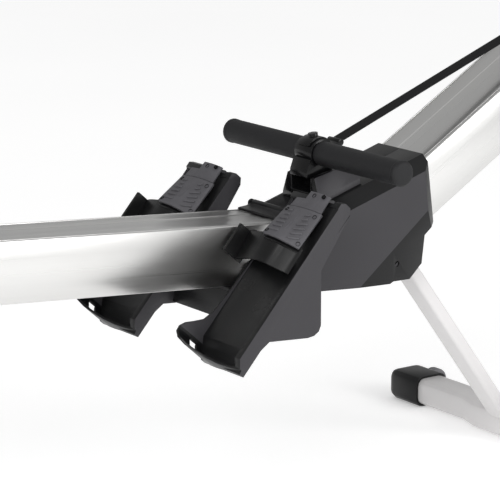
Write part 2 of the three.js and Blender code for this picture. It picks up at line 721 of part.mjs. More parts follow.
// ---------------------------------------------------------------- handle
const COLLAR_HALF = 22;
const COLLAR_RADIUS = 22.6;
const CORE_RADIUS = 12;
const CLIP_REACH = 40;
function makeHandle() {
  const { x, z } = handleAxis;
  const half = HANDLE_LENGTH / 2;
  add('handle_core', rodY(CORE_RADIUS, x, z, -half + 14, half - 14), steel);
  for (const [name, side] of [['left', 1], ['right', -1]]) {
    const inner = COLLAR_HALF + GAP;
    const bore = CORE_RADIUS + GAP;
    const bottom = half - 14 + GAP;
    const profile = [
      [bore, side * inner], [GRIP_RADIUS, side * inner], [GRIP_RADIUS, side * (half - 12)],
      [GRIP_RADIUS + 0.6, side * (half - 11)], [GRIP_RADIUS + 0.6, side * (half - 5)],
      [GRIP_RADIUS - 2, side * (half - 1.5)], [GRIP_RADIUS - 7, side * half],
      [0, side * half], [0, side * bottom], [bore, side * bottom], [bore, side * inner],
    ];
    add(`handle_grip_${name}`, turnedY(profile, x, z, 24), foam);
  }
  const ring = rodY(COLLAR_RADIUS, x, z, -COLLAR_HALF, COLLAR_HALF, 36);
  const slope = rad(HUB_TOP_SLOPE);
  const neck = prismY([[-24, z - 8], [-31, z - 27], [-31, z - 36], [18, z - 36], [20, z - 8]],
    -COLLAR_HALF, COLLAR_HALF);
  const foot = cut(block(-6, 16, -19, 19, z - 60, z - 30), beyondPlane(
    [0, 0, channelFloorAt(0) + GAP * 1.2], [Math.sin(slope), 0, -Math.cos(slope)]));
  const bore = rodY(CORE_RADIUS + GAP, x, z, -COLLAR_HALF - 1, COLLAR_HALF + 1);
  add('handle_collar', cut(union(ring, neck, foot), bore), blackPlastic);
  makeStrapClip(x, z);
}

function makeStrapClip(x, z) {
  const inner = COLLAR_RADIUS + GAP;
  const outer = inner + 3;
  const band = prismY([
    ...arc(x, z, outer, 150, 20, 12),
    [x + CLIP_REACH, z + 14],
    [x + CLIP_REACH, z + 10],
    ...arc(x, z, inner, 18, 150, 12),
  ], -STRAP_WIDTH / 2 - 2, STRAP_WIDTH / 2 + 2);
  const bar = rodY(5.5, x + CLIP_REACH + 2, z + 12, -STRAP_WIDTH / 2 - 2, STRAP_WIDTH / 2 + 2, 16);
  const button = rod(8, [x - 2, 0, z + inner + 1], [x - 3, 0, z + inner + 7], 20);
  add('strap_clip', union(band, bar, button), blackPlastic);
}

// ---------------------------------------------------------------- flywheel unit
const flywheelAxis = { x: 705, z: 783 };
const FLYWHEEL_Y = 34;            // middle plane of the flywheel
const BELT_Y = -34;
const BELT_WIDTH = 10;
const PULLEY_RADIUS = 58;
const PINION_RADIUS = 20;
const AXLE_RADIUS = 6;
const forkInner = bracketInner;
const forkOuter = forkInner + 5;

const strapDirection = { x: Math.cos(rad(STRAP_SLOPE)), z: Math.sin(rad(STRAP_SLOPE)) };
const strapStart = { x: handleAxis.x + CLIP_REACH + 9, z: handleAxis.z + 15.2 };
const strapHeightAt = (x) => strapStart.z + Math.tan(rad(STRAP_SLOPE)) * (x - strapStart.x);
const strapOffset = DRUM_RADIUS + GAP + STRAP_THICKNESS / 2;
const drumX = 590;
const drumAxis = { x: drumX, z: strapHeightAt(drumX) - strapOffset / strapDirection.x };
const strapEndX = drumAxis.x - strapOffset * strapDirection.z;

function makeStrap() {
  const end = { x: strapEndX, z: strapHeightAt(strapEndX) };
  const [dx, dz] = [-strapDirection.z * STRAP_THICKNESS / 2, strapDirection.x * STRAP_THICKNESS / 2];
  add('pull_strap', prismY([
    [strapStart.x - dx, strapStart.z - dz], [end.x - dx, end.z - dz],
    [end.x + dx, end.z + dz], [strapStart.x + dx, strapStart.z + dz],
  ], -STRAP_WIDTH / 2, STRAP_WIDTH / 2), webbing);
}

const INNER_PLATE_Y = 19.8;
const ROLLER_HALF = 17;
const rollerRadius = 9;
const rollerX = 533;
const rollerAxis = {
  x: rollerX,
  z: strapHeightAt(rollerX) - (rollerRadius + GAP + STRAP_THICKNESS / 2) / strapDirection.x,
};
function makeFork() {
  const { x, z } = flywheelAxis;
  const outline = [
    [488, beamTopAt(488) - 14],
    [498, 770],
    [512, 808],
    [560, 822],
    [660, 828],
    ...arc(x, z, 34, 90, -90, 8),
    [610, 700],
    [572, beamUnderAt(572) + 2],
    [548, beamUnderAt(548) + 2],
  ];
  const plates = [-1, 1].map((side) => prismY(outline,
    ...[side * forkInner, side * forkOuter].sort((a, b) => a - b)));
  const innerPlate = prismY([[512, 806], [527, 806], [612, 770], [612, 722], [590, 708],
    [578, 648], [571, 653], [540, 706]], INNER_PLATE_Y, INNER_PLATE_Y + 2.6);
  const lowerTie = prismY([[548, beamUnderAt(548) - GAP], [576, beamUnderAt(576) - GAP],
    [576, beamUnderAt(576) + 12], [572, beamUnderAt(572) + 12],
    [569.9, beamUnderAt(569.9) - 0.1]], -forkOuter, forkOuter);
  const upperTie = rodY(6, 520, 800, -forkOuter + 1, forkOuter - 1, 16);
  const rollerPin = rodY(4, rollerAxis.x, rollerAxis.z, -ROLLER_HALF - 2, INNER_PLATE_Y + 1, 16);
  const brakeArm = prismY([[566, 700], [600, 640], [637, 601], [653, 604], [652, 622], [620, 700]],
    forkInner, forkOuter);
  const brakePin = rodY(4, brakePivot.x, brakePivot.z, FLYWHEEL_Y - 16, forkOuter - 1, 16);
  const bore = (axis) => rodY(AXLE_RADIUS + GAP, axis.x, axis.z, -80, 80);
  return cut(union(...plates, innerPlate, lowerTie, upperTie, rollerPin, brakeArm, brakePin),
    bore(flywheelAxis), bore(drumAxis));
}

function makeFlywheelUnit() {
  const { x, z } = flywheelAxis;
  const bore = AXLE_RADIUS + RUNNING;
  const [front, back] = [FLYWHEEL_Y + FLYWHEEL_WIDTH / 2, FLYWHEEL_Y - FLYWHEEL_WIDTH / 2];
  const beltEdge = BELT_WIDTH / 2 + 1;
  add('flywheel', turnedY([
    [bore, front + 6], [34, front + 6], [34, front - 5], [FLYWHEEL_RADIUS - 21, front - 5],
    [FLYWHEEL_RADIUS - 21, front], [FLYWHEEL_RADIUS, front], [FLYWHEEL_RADIUS, back],
    [18, back], [16, BELT_Y + beltEdge + 2], [PINION_RADIUS + 3, BELT_Y + beltEdge + 2],
    [PINION_RADIUS + 3, BELT_Y + beltEdge], [PINION_RADIUS, BELT_Y + beltEdge],
    [PINION_RADIUS, BELT_Y - beltEdge], [bore, BELT_Y - beltEdge], [bore, front + 6],
  ], x, z, 36), castIron);
  add('strap_drum', turnedY([
    [bore, 19], [DRUM_RADIUS + 16, 19], [DRUM_RADIUS + 16, 16], [DRUM_RADIUS, 16],
    [DRUM_RADIUS, -16], [DRUM_RADIUS + 16, -16], [DRUM_RADIUS + 16, -19], [18, -19],
    [18, BELT_Y + beltEdge + 2], [PULLEY_RADIUS + 3, BELT_Y + beltEdge + 2],
    [PULLEY_RADIUS + 3, BELT_Y + beltEdge], [PULLEY_RADIUS, BELT_Y + beltEdge],
    [PULLEY_RADIUS, BELT_Y - beltEdge], [bore, BELT_Y - beltEdge], [bore, 19],
  ], drumAxis.x, drumAxis.z, 30), blackPlastic);
  add('flywheel_axle', rodY(AXLE_RADIUS, x, z, -forkOuter - 3, forkOuter + 3), steel);
  add('drum_axle', rodY(AXLE_RADIUS, drumAxis.x, drumAxis.z, -forkOuter - 3, INNER_PLATE_Y + 2.6),
    steel);
  add('guide_roller', turnedY([
    [4.4, ROLLER_HALF], [12, ROLLER_HALF], [rollerRadius, ROLLER_HALF - 3],
    [rollerRadius, 3 - ROLLER_HALF], [12, -ROLLER_HALF], [4.4, -ROLLER_HALF], [4.4, ROLLER_HALF],
  ], rollerAxis.x, rollerAxis.z, 20), greyPlastic);
  makeBelt();
  makeBrake();
}

// The belt loop wraps the drum's pulley and the flywheel's pinion.
function beltOutline(thickness) {
  const distance = flywheelAxis.x - drumAxis.x;
  const rise = Math.atan2(flywheelAxis.z - drumAxis.z, distance) * 180 / Math.PI;
  const spread = Math.acos((PULLEY_RADIUS - PINION_RADIUS) / distance) * 180 / Math.PI;
  return [
    ...arc(drumAxis.x, drumAxis.z, PULLEY_RADIUS + thickness, rise + spread, rise + 360 - spread, 24),
    ...arc(flywheelAxis.x, flywheelAxis.z, PINION_RADIUS + thickness, rise - spread, rise + spread, 10),
  ];
}

function makeBelt() {
  const half = BELT_WIDTH / 2;
  add('drive_belt', cut(prismY(beltOutline(2.5), BELT_Y - half, BELT_Y + half),
    prismY(beltOutline(GAP + 0.3), BELT_Y - half - 1, BELT_Y + half + 1)), rubber);
}

// A curved magnet carrier that swings on a pin beside the flywheel's rim.
const brakePivot = { x: flywheelAxis.x - 60, z: flywheelAxis.z - 172 };
function makeBrake() {
  const { x, z } = flywheelAxis;
  const [r0, r1] = [FLYWHEEL_RADIUS + 4, FLYWHEEL_RADIUS + 14];
  const carrier = prismY([...arc(x, z, r0, 252, 325, 14), ...arc(x, z, r1, 325, 252, 14)],
    FLYWHEEL_Y - 14, FLYWHEEL_Y + 14);
  const eye = rodY(9, brakePivot.x, brakePivot.z, FLYWHEEL_Y - 14, FLYWHEEL_Y + 14);
  add('magnet_carrier', cut(union(carrier, eye),
    rodY(4 + RUNNING, brakePivot.x, brakePivot.z, 0, 80)), steel);
}

// ---------------------------------------------------------------- flywheel casing
const casingNose = { x: 575, z: 722, radius: 105 };
const casingHalf = CASING_WIDTH / 2;
function casingOutline() {
  const { x, z } = flywheelAxis;
  const distance = Math.hypot(x - casingNose.x, z - casingNose.z);
  const rise = Math.atan2(z - casingNose.z, x - casingNose.x) * 180 / Math.PI;
  const spread = Math.acos((casingNose.radius - CASING_RADIUS) / distance) * 180 / Math.PI;
  return [
    ...arc(casingNose.x, casingNose.z, casingNose.radius, rise + spread, rise + 360 - spread, 8),
    ...arc(x, z, CASING_RADIUS, rise - spread, rise + spread, 26),
  ];
}

function casingForm(shrink) {
  const outline = shrink ? inset(casingOutline(), shrink) : casingOutline();
  const half = casingHalf - shrink;
  const bevel = 14;
  const small = inset(outline, bevel);
  const ring = (points, y) => points.map(([x, z]) => [x, y, z]);
  return loft([ring(small, -half), ring(outline, -half + bevel), ring(outline, half - bevel),
    ring(small, half)]);
}

function makeCasing() {
  const beamHole = onBeam(profileHole(GAP, 100, BEAM_LENGTH + 5));
  const slotX = casingNose.x - casingNose.radius;
  const slot = block(slotX - 15, slotX + 30, -STRAP_WIDTH / 2 - 4, STRAP_WIDTH / 2 + 4,
    strapHeightAt(slotX) - 12, strapHeightAt(slotX) + 20);
  const sheet = cut(casingForm(0), casingForm(3), beamHole, slot);
  const knobHole = rodY(5, knobAxis.x, knobAxis.z, -casingHalf - 5, -casingHalf + 10, 16);
  for (const [name, side] of [['left', 1], ['right', -1]]) {
    const half = side > 0 ? block(300, 1000, -400, GAP / 2, 400, 1200)
      : block(300, 1000, -GAP / 2, 400, 400, 1200);
    add(`flywheel_cover_${name}`, cut(sheet, half, knobHole), blackPlastic);
  }
}

const knobAxis = { x: 640, z: 862 };
function makeTensionKnob() {
  const y = -casingHalf;
  const body = turnedY([
    [0, y - GAP], [27, y - GAP], [27, y - 6], [22, y - 9], [20, y - 24], [17, y - 27], [0, y - 27],
  ], knobAxis.x, knobAxis.z, 24);
  const flutes = Array.from({ length: 8 }, (unused, i) => {
    const angle = rad(45 * i);
    return rodY(3, knobAxis.x + 22.6 * Math.cos(angle), knobAxis.z + 22.6 * Math.sin(angle),
      y - 40, y - 9, 8);
  });
  const stem = rodY(4.5, knobAxis.x, knobAxis.z, y - 1, y + 8, 16);
  add('tension_knob', union(cut(body, ...flutes), stem), blackPlastic);
}

// ---------------------------------------------------------------- console
const CONSOLE_TILT = 62;          // degrees of the screen's face above horizontal
const consolePivot = { x: 640, z: 1058 };
const onConsole = (solid) => placed(solid, consolePivot.x, consolePivot.z, -CONSOLE_TILT);
function makeConsole() {
  const casingTop = flywheelAxis.z + CASING_RADIUS;
  const mastX = flywheelAxis.x - 28;
  const base = block(mastX - 30, mastX + 30, -20, 20, casingTop - 16, casingTop + 6);
  const column = loft([[mastX, casingTop], [consolePivot.x + 12, consolePivot.z - 16]].map(([x, z]) =>
    roundRect(34, 30, 9, 4).map(([u, v]) => [x + u, v, z])));
  const ear = prismY([
    [consolePivot.x - 6, consolePivot.z - 18],
    [consolePivot.x + 28, consolePivot.z - 18],
    ...arc(consolePivot.x, consolePivot.z, 10, 0, 180, 8),
  ], -9, 9);
  const casingSkin = rodY(CASING_RADIUS + GAP, flywheelAxis.x, flywheelAxis.z, -100, 100, 144);
  const pivotRod = rodY(4, consolePivot.x, consolePivot.z, -24, 24, 16);
  add('console_mast', union(cut(union(base, column, ear), casingSkin), pivotRod), blackPlastic);

  // Housing frame: x runs up the screen's face, z is its outward normal.
  const [low, high, half] = [-14, 128, 92];
  const plan = roundRect(high - low, 2 * half, 20, 4).map(([u, v]) => [u + (low + high) / 2, v]);
  const ring = (points, z, shrink) => points.map(([u, v]) => [
    (u - 57) * (1 - shrink / 71) + 57, v * (1 - shrink / half), z]);
  const shell = loft([ring(plan, 14, 16), ring(plan, 22, 4), ring(plan, 40, 0), ring(plan, 46, 3)]);
  const window = block(42, 116, -64, 64, 43, 60);
  const buttonHoles = [-1, 1].map((side) => rod(11 + RUNNING, [16, side * 34, 38], [16, side * 34, 60], 24));
  const lugs = [-1, 1].map((side) => {
    const y = side * 15;
    const lug = prismY([...arc(0, 0, 9, 200, 340, 8), [14, 24], [-12, 24]], y - 5, y + 5);
    return lug;
  });
  const pinBore = rodY(4 + RUNNING, 0, 0, -40, 40);
  const housing = cut(union(shell, ...lugs), window, ...buttonHoles, pinBore);
  add('console_housing', onConsole(housing), blackPlastic);
  const pane = block(42 + GAP, 116 - GAP, -64 + GAP, 64 - GAP, 43 + GAP, 45.4);
  add('console_screen', onConsole(pane), screenGlass);
  for (const [name, side] of [['left', 1], ['right', -1]]) {
    const button = rod(11, [16, side * 34, 40.4], [16, side * 34, 48], 24);
    add(`console_button_${name}`, onConsole(button), greyPlastic);
  }
}

// ---------------------------------------------------------------- pedals
// In the pedal's frame x runs from heel to toe, z towards the foot, y as the machine's.
const pedalHeel = { x: -282, z: HANDLE_HEIGHT - 278 };
const onPedal = (solid, y) =>
  placed(solid, pedalHeel.x, pedalHeel.z, -PEDAL_SLOPE).translate([0, y, 0]);
const BED_TOP = 20;
const pedalHalf = PEDAL_WIDTH / 2;
const crossmemberHalf = PEDAL_SPACING / 2 + pedalHalf - PEDAL_WALL - 4;

function toPedal(x, z) {
  const angle = rad(PEDAL_SLOPE);
  const [dx, dz] = [x - pedalHeel.x, z - pedalHeel.z];
  return [dx * Math.cos(angle) + dz * Math.sin(angle), dz * Math.cos(angle) - dx * Math.sin(angle)];
}

function crossmember(grow) {
  return onRail(block(CROSSMEMBER_REAR - grow, CROSSMEMBER_FRONT + grow,
    -crossmemberHalf - grow, crossmemberHalf + grow,
    crossmemberTop - CROSSMEMBER_HEIGHT - grow, crossmemberTop + grow));
}

function makeCrossmember() {
  const wall = 3;
  const bore = onRail(block(CROSSMEMBER_REAR + wall, CROSSMEMBER_FRONT - wall,
    -crossmemberHalf - 5, crossmemberHalf + 5,
    crossmemberTop - CROSSMEMBER_HEIGHT + wall, crossmemberTop - wall));
  add('pedal_crossmember', cut(crossmember(0), bore), blackPlastic);
}

// The rim that runs down the inner side and round the heel: [x, y, height of its top edge].
const rimPath = [
  [297, 58, 23], [200, 58, 22], [120, 58, 24], [70, 58, 29], [54, 58, 35], [42, 58, 48],
  [32, 58, 60], [22, 57, 67], [12, 53, 69], [4, 45, 66], [0, 34, 56], [-1, 20, 42],
  [-1, 5, 30], [0, -15, 21], [2, -35, 16], [5, -57, 14],
];
// The raised ledge along the outer side: [x, width].
const ledgePath = [[6, 15], [40, 12], [80, 10], [120, 11], [150, 15], [180, 22], [215, 29],
  [250, 33], [290, 34]];

function footplate(y) {
  const [length, half, wall] = [PEDAL_LENGTH, pedalHalf, PEDAL_WALL];
  const heelCorner = beyondPlane([8, 49, 0], [-1, 1, 0]);
  const tray = cut(
    prismY([[0, 0], [length - 8, 0], [length, 6], [length, 18], [length - 5, 25],
      [length - 14, 25], [length - 18, BED_TOP], [34, BED_TOP], [22, 13], [0, 9]], -half, half),
    block(38, length - 26, -half + wall, half - wall, -1, BED_TOP - 5),
    block(length - 8, length + 1, -44, -30, 12, 30), heelCorner);
  const rim = slab((s, t) => {
    const [x, across, top] = along(rimPath, s);
    return [x, across, 1 + (top - 1) * t];
  }, 3.5, 30, 1);
  const slot = block(-26, 5, -10, 10, -8, 8).rotate([0, 0, -46]).translate([8, 47, 32]);
  const ledgeShape = new THREE.Shape([
    ...ledgePath.map(([x, width]) => new THREE.Vector2(x, -half + width)),
    new THREE.Vector2(290, -half),
    new THREE.Vector2(6, -half),
  ]);
  const ledgeGeometry = new THREE.ExtrudeGeometry(ledgeShape, { depth: 6, bevelEnabled: false });
  ledgeGeometry.translate(0, 0, BED_TOP - 2);
  const ledge = cut(union(toSolid(ledgeGeometry), block(6, 40, -half, -half + 12, 5, BED_TOP)),
    beyondPlane([6, 0, BED_TOP - 6], [-1, 0, 1.2]));
  // Flat side panels reach down to the crossmember.
  const corner = (x, z) => toPedal(x, HANDLE_HEIGHT + z);
  const panelOutline = [corner(-266, -253), corner(-234, -231), corner(-163, -236),
    corner(-151, -234.5), corner(-142, -229), corner(-138, -220), corner(-138, -135),
    corner(-84, -57)];
  const panels = [[-half, -half + wall], [half - wall, half]].map(([y0, y1]) =>
    prismY(panelOutline, y0, y1));
  const whole = union(tray, rim, ledge, ...panels.map((panel) => cut(panel, heelCorner)));
  return cut(onPedal(cut(whole, slot), y), crossmember(GAP));
}

// The strap's arch over the foot, inner side first: [y, z] at the middle of the band.
const STRAP_SHEET = 3;
const archLine = [[64, 33], [70, 43], [62, 47], [50, 51], [34, 55], [16, 59], [-1, 60.5],
  [-18, 57.5], [-30, 50], [-42, 42], [-48, 37], [-51.5, 31.5]];
const BAND_TOE = 209;
const bandHeelAt = (share) => 158 + 8 * share;

// The pad runs from the band's toe edge to the tongue: its two ends as [y, z] lines.
const padHeelLine = [[15, 64.5], [0, 66], [-18, 63], [-30, 55.5], [-43, 46.5], [-51, 38.5]];
const padToeLine = [[42, 33], [25, 36], [8, 38], [-10, 38.5], [-28, 37], [-44, 33]];
const PAD_HEEL = 206;
const PAD_TOE = 272;
const PAD_THICKNESS = 5;
function padPoint(s, t) {
  const [y0, z0] = along(padHeelLine, s);
  const [y1, z1] = along(padToeLine, s);
  return [PAD_HEEL + (PAD_TOE - PAD_HEEL) * t, y0 + (y1 - y0) * t, z0 + (z1 - z0) * t];
}

function makePedal(name, y) {
  add(`footplate_${name}`, footplate(y), blackPlastic);
  const arch = new THREE.CatmullRomCurve3(archLine.map(([u, v]) => new THREE.Vector3(u, v, 0)));
  const band = slab((s, t) => {
    const { x: across, y: up } = arch.getPoint(s);
    return [bandHeelAt(s) + (BAND_TOE - bandHeelAt(s)) * t, across, up - 2 * (1 - t)];
  }, STRAP_SHEET, 34, 2);
  const loop = block(160, BAND_TOE - 1, 68, 74, 40, 66);
  const tab = slab((s, t) => {
    const [x, across, up] = padPoint(s * 0.9 + 0.05, t * 1.1 - 0.1);
    return [x, across, up - PAD_THICKNESS - GAP];
  }, STRAP_SHEET, 8, 3);
  const clearPad = slab((s, t) => {
    const [x, across, up] = padPoint(s * 1.14 - 0.07, t * 1.1 - 0.05);
    return [x, across, up + 3];
  }, PAD_THICKNESS + 3.5, 10, 3);
  add(`foot_strap_${name}`, onPedal(cut(union(band, loop, tab), clearPad), y), rubber);
  add(`strap_pad_${name}`, onPedal(slab(padPoint, PAD_THICKNESS, 10, 3), y), greyPlastic);
  const tongue = slab((s, t) => {
    const [across, up] = along(padToeLine, 0.06 + 0.9 * s);
    return [PAD_TOE + 0.6 + 31 * t, across * (1 - 0.12 * t), up - 1 - 2.5 * t];
  }, 3, 8, 2);
  const nose = cut(tongue, block(289, 320, 9, 60, 0, 80), block(289, 320, -60, -37, 0, 80));
  add(`strap_tongue_${name}`, onPedal(nose, y), greyPlastic);
}

// ---------------------------------------------------------------- seat
const seatCentre = -SEAT_REST;    // in the rail's frame
const CARRIAGE_LENGTH = 232;
const AXLE_SPREAD = 80;
const CHEEK_INNER = PROFILE_WIDTH / 2 + 1.5;
const carriageBase = 2 * ROLLER_RADIUS + 3;
const ROLLER_Y = 36;
const SEAT_AXLE = 5;
const axleHeight = ROLLER_RADIUS - 0.4 + GAP;

function makeSeat() {
  const [x0, x1] = [seatCentre - CARRIAGE_LENGTH / 2, seatCentre + CARRIAGE_LENGTH / 2];
  const plate = block(x0, x1, -CHEEK_INNER - 4, CHEEK_INNER + 4, carriageBase, carriageBase + 4);
  const cheeks = [-1, 1].map((side) => prismY([
    [x0, carriageBase + 3], [x0, 8], [x0 + 10, -22], [x1 - 10, -22], [x1, 8], [x1, carriageBase + 3],
  ], ...[side * CHEEK_INNER, side * (CHEEK_INNER + 4)].sort((a, b) => a - b)));
  const axles = [-1, 1].map((end) => rodY(SEAT_AXLE, seatCentre + end * AXLE_SPREAD, axleHeight,
    -CHEEK_INNER - 2, CHEEK_INNER + 2, 16));
  add('seat_carriage', onRail(union(plate, ...cheeks, ...axles)), steel);
  for (const [end, endName] of [[1, 'front'], [-1, 'rear']]) {
    for (const [side, sideName] of [[1, 'left'], [-1, 'right']]) {
      const y = side * ROLLER_Y;
      const half = ROLLER_WIDTH / 2;
      const bore = SEAT_AXLE + RUNNING;
      const r = ROLLER_RADIUS;
      const roller = turnedY([
        [bore, y - half], [r - 1.5, y - half], [r, y - half + 1.5], [r, y + half - 1.5],
        [r - 1.5, y + half], [bore, y + half], [bore, y - half],
      ], seatCentre + end * AXLE_SPREAD, axleHeight, 24);
      add(`seat_roller_${endName}_${sideName}`, onRail(roller), greyPlastic);
    }
  }
  const baseZ = carriageBase + 4 + GAP;
  const plan = (shrink) => roundRect(SEAT_LENGTH - 2 * shrink, SEAT_WIDTH - 2 * shrink, 70 - shrink, 6);
  const ring = (z, shrink) => plan(shrink).map(([u, v]) => [seatCentre + u, v, z]);
  add('seat_base', onRail(loft([ring(baseZ, 40), ring(baseZ + 4, 22), ring(baseZ + 14, 8)])), blackPlastic);
  const pad = baseZ + 14 + GAP;
  const top = pad + CUSHION_THICKNESS;
  add('seat_cushion', onRail(loft([ring(pad, 8), ring(pad + 8, 0), ring(pad + 26, 1),
    ring(top - 6, 12), ring(top, 34)])), vinyl);
}

const STOP_REAR = -102;           // rear face of the front stops, in the rail's frame
function makeStops() {
  for (const [name, side] of [['left', 1], ['right', -1]]) {
    const near = side * (PROFILE_WIDTH / 2 + GAP);
    const far = side * (PROFILE_WIDTH / 2 + 6.5);
    const [y0, y1] = [Math.min(near, far), Math.max(near, far)];
    const stop = prismY([[STOP_REAR, -30], [STOP_REAR, -12], [STOP_REAR + 4, -8],
      [STOP_REAR + 22, -8], [STOP_REAR + 30, -14], [STOP_REAR + 30, -30]], y0, y1);
    add(`front_stop_${name}`, onRail(stop), rubber);
  }
}

// ---------------------------------------------------------------- assembly
makeRail();
makeHinge();
add('hub_bracket', makeHubBracket(), blackPaint);
makeLockKnob();
add('front_beam', onBeam(extrusion(0, BEAM_LENGTH)), aluminium);
makeFrontLeg();
makeStabilisers();
makeRearLeg();
makeHubCovers();
makeCradle();
makeHandle();
add('flywheel_fork', makeFork(), steel);
makeFlywheelUnit();
makeStrap();
makeCasing();
makeTensionKnob();
makeConsole();
makeCrossmember();
makePedal('left', PEDAL_SPACING / 2);
makePedal('right', -PEDAL_SPACING / 2);
makeSeat();
makeStops();

// The origin goes to the middle of the footprint, on the floor.
machine.updateMatrixWorld(true);
const box = new THREE.Box3().setFromObject(machine, true);
const middle = box.getCenter(new THREE.Vector3());
machine.position.set(-middle.x, -middle.y, -box.min.z);

export default machine;
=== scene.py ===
import bpy
import bmesh
import json
from math import radians, sin, cos, pi
from mathutils import Matrix, Vector

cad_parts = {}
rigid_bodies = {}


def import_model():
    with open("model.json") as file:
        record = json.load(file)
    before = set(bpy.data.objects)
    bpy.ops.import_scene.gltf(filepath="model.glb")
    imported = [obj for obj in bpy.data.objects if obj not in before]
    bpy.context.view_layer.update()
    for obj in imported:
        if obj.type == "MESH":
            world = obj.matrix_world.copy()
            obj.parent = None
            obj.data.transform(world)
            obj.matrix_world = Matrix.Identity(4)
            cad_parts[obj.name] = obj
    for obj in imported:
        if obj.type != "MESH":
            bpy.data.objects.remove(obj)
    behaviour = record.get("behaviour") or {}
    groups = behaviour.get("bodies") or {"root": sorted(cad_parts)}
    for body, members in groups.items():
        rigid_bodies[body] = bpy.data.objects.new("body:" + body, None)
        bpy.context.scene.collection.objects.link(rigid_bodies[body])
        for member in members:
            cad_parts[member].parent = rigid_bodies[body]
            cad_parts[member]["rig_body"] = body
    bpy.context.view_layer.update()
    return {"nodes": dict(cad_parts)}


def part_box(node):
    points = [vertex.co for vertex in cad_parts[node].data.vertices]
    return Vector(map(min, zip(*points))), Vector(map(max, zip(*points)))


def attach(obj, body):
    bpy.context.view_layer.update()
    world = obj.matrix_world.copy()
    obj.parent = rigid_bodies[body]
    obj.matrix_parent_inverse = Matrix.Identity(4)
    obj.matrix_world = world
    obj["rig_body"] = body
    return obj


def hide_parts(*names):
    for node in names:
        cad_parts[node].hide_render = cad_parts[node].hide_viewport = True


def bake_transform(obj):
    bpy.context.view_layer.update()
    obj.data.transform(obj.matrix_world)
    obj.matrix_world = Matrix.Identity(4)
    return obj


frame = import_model()


# ---------------------------------------------------------------- camera, floor and light
# A long lens looks down a little on the hub, the footplates and the parked handle.
# The floor is a pale plain sheet, and the light is a white room with two large soft boxes.
camera = bpy.data.objects.new("camera", bpy.data.cameras.new("camera"))
bpy.context.scene.collection.objects.link(camera)
camera.location = (-2.2210, -3.2442, 1.3364)
camera.rotation_euler = (radians(76.87), 0, radians(-35.68))
camera.data.lens = 188.57
camera.data.clip_end = 100
bpy.context.scene.camera = camera
bpy.context.scene.view_settings.view_transform = "Standard"


def tint(code):
    """An sRGB hex colour as the linear colour that a shader takes."""
    parts = [int(code[i:i + 2], 16) / 255 for i in (1, 3, 5)]
    return (*[c / 12.92 if c <= 0.04045 else ((c + 0.055) / 1.055) ** 2.4 for c in parts], 1)


def put(tree, kind, settings, links):
    """Adds a shader node with its settings and its links, and returns it."""
    node = tree.nodes.new("ShaderNode" + kind)
    for name, value in settings.items():
        if name in node.inputs:
            node.inputs[name].default_value = value
        else:
            setattr(node, name, value)
    for name, socket in links.items():
        tree.links.new(socket, node.inputs[name])
    return node


def new_material(name, settings):
    """A material with its shader's plain values set: (material, node tree, shader)."""
    material = bpy.data.materials.new(name)
    material.use_nodes = True
    shader = material.node_tree.nodes["Principled BSDF"]
    for socket, value in settings.items():
        shader.inputs[socket].default_value = value
    return material, material.node_tree, shader


# Studio floor: matt white sheet, faintly uneven.
studio_floor, tree, shader = new_material("studio_sheet", {
    "Roughness": 0.9, "Emission Color": tint("#ffffff"), "Emission Strength": 0.3})
place = put(tree, "TexCoord", {}, {})
patches = put(tree, "TexNoise", {"Scale": 0.8}, {"Vector": place.outputs["Object"]})
white = put(tree, "MixRGB", {"Color1": tint("#f4f4f4"), "Color2": tint("#fafafa")},
            {"Fac": patches.outputs["Fac"]})
tree.links.new(white.outputs[0], shader.inputs["Base Color"])
bpy.ops.mesh.primitive_plane_add(size=40, location=(0, 0, 0))
floor = bpy.context.object
floor.name = "floor"
floor.data.materials.append(studio_floor)

room = bpy.data.worlds.new("room")
bpy.context.scene.world = room
room.use_nodes = True
# The white room is brightest behind the camera and dims towards the far wall, which the
# upper faces mirror; seen straight on, the far wall is plain white.
tree = room.node_tree
background = tree.nodes["Background"]
background.inputs["Color"].default_value = tint("#ffffff")
place = put(tree, "TexCoord", {}, {})
across = put(tree, "SeparateXYZ", {}, {"Vector": place.outputs["Generated"]})
dimming = put(tree, "MapRange",
              {"From Min": -0.5, "From Max": 0.7, "To Min": 0.85, "To Max": 0.46},
              {"Value": across.outputs["Y"]})
ray = put(tree, "LightPath", {}, {})
straight = put(tree, "Mix", {"B": 1.0}, {"Factor": ray.outputs["Is Camera Ray"],
                                         "A": dimming.outputs[0]})
tree.links.new(straight.outputs[0], background.inputs["Strength"])
for name, watts, width, spot, turn in (
        ("soft_box_left", 60, 1.8, (-2.6, -2.0, 2.0), (60, 0, -52)),
        ("soft_box_right", 30, 1.2, (1.4, -2.6, 1.4), (70, 0, 30))):
    lamp = bpy.data.lights.new(name, "AREA")
    lamp.energy = watts
    lamp.size = width
    soft_box = bpy.data.objects.new(name, lamp)
    soft_box.location = spot
    soft_box.rotation_euler = [radians(a) for a in turn]
    bpy.context.scene.collection.objects.link(soft_box)


# ---------------------------------------------------------------- seat rail and front beam
# Two extruded aluminium profiles with chamfered corners, sawn square and satin anodised.
# The rail hangs on the hinge knuckle; the beam is clamped between the flywheel fork's plates.
def only(*chosen):
    """Selects these objects and nothing else."""
    bpy.ops.object.select_all(action="DESELECT")
    for item in chosen:
        item.select_set(True)
    bpy.context.view_layer.objects.active = chosen[0]


def smooth(piece, angle=32):
    """Shades a piece smooth, with creases where it turns sharply."""
    only(piece)
    bpy.ops.object.shade_smooth_by_angle(angle=radians(angle))


def apply_all(piece):
    """Applies a piece's modifiers in order."""
    only(piece)
    for modifier in list(piece.modifiers):
        bpy.ops.object.modifier_apply(modifier=modifier.name)


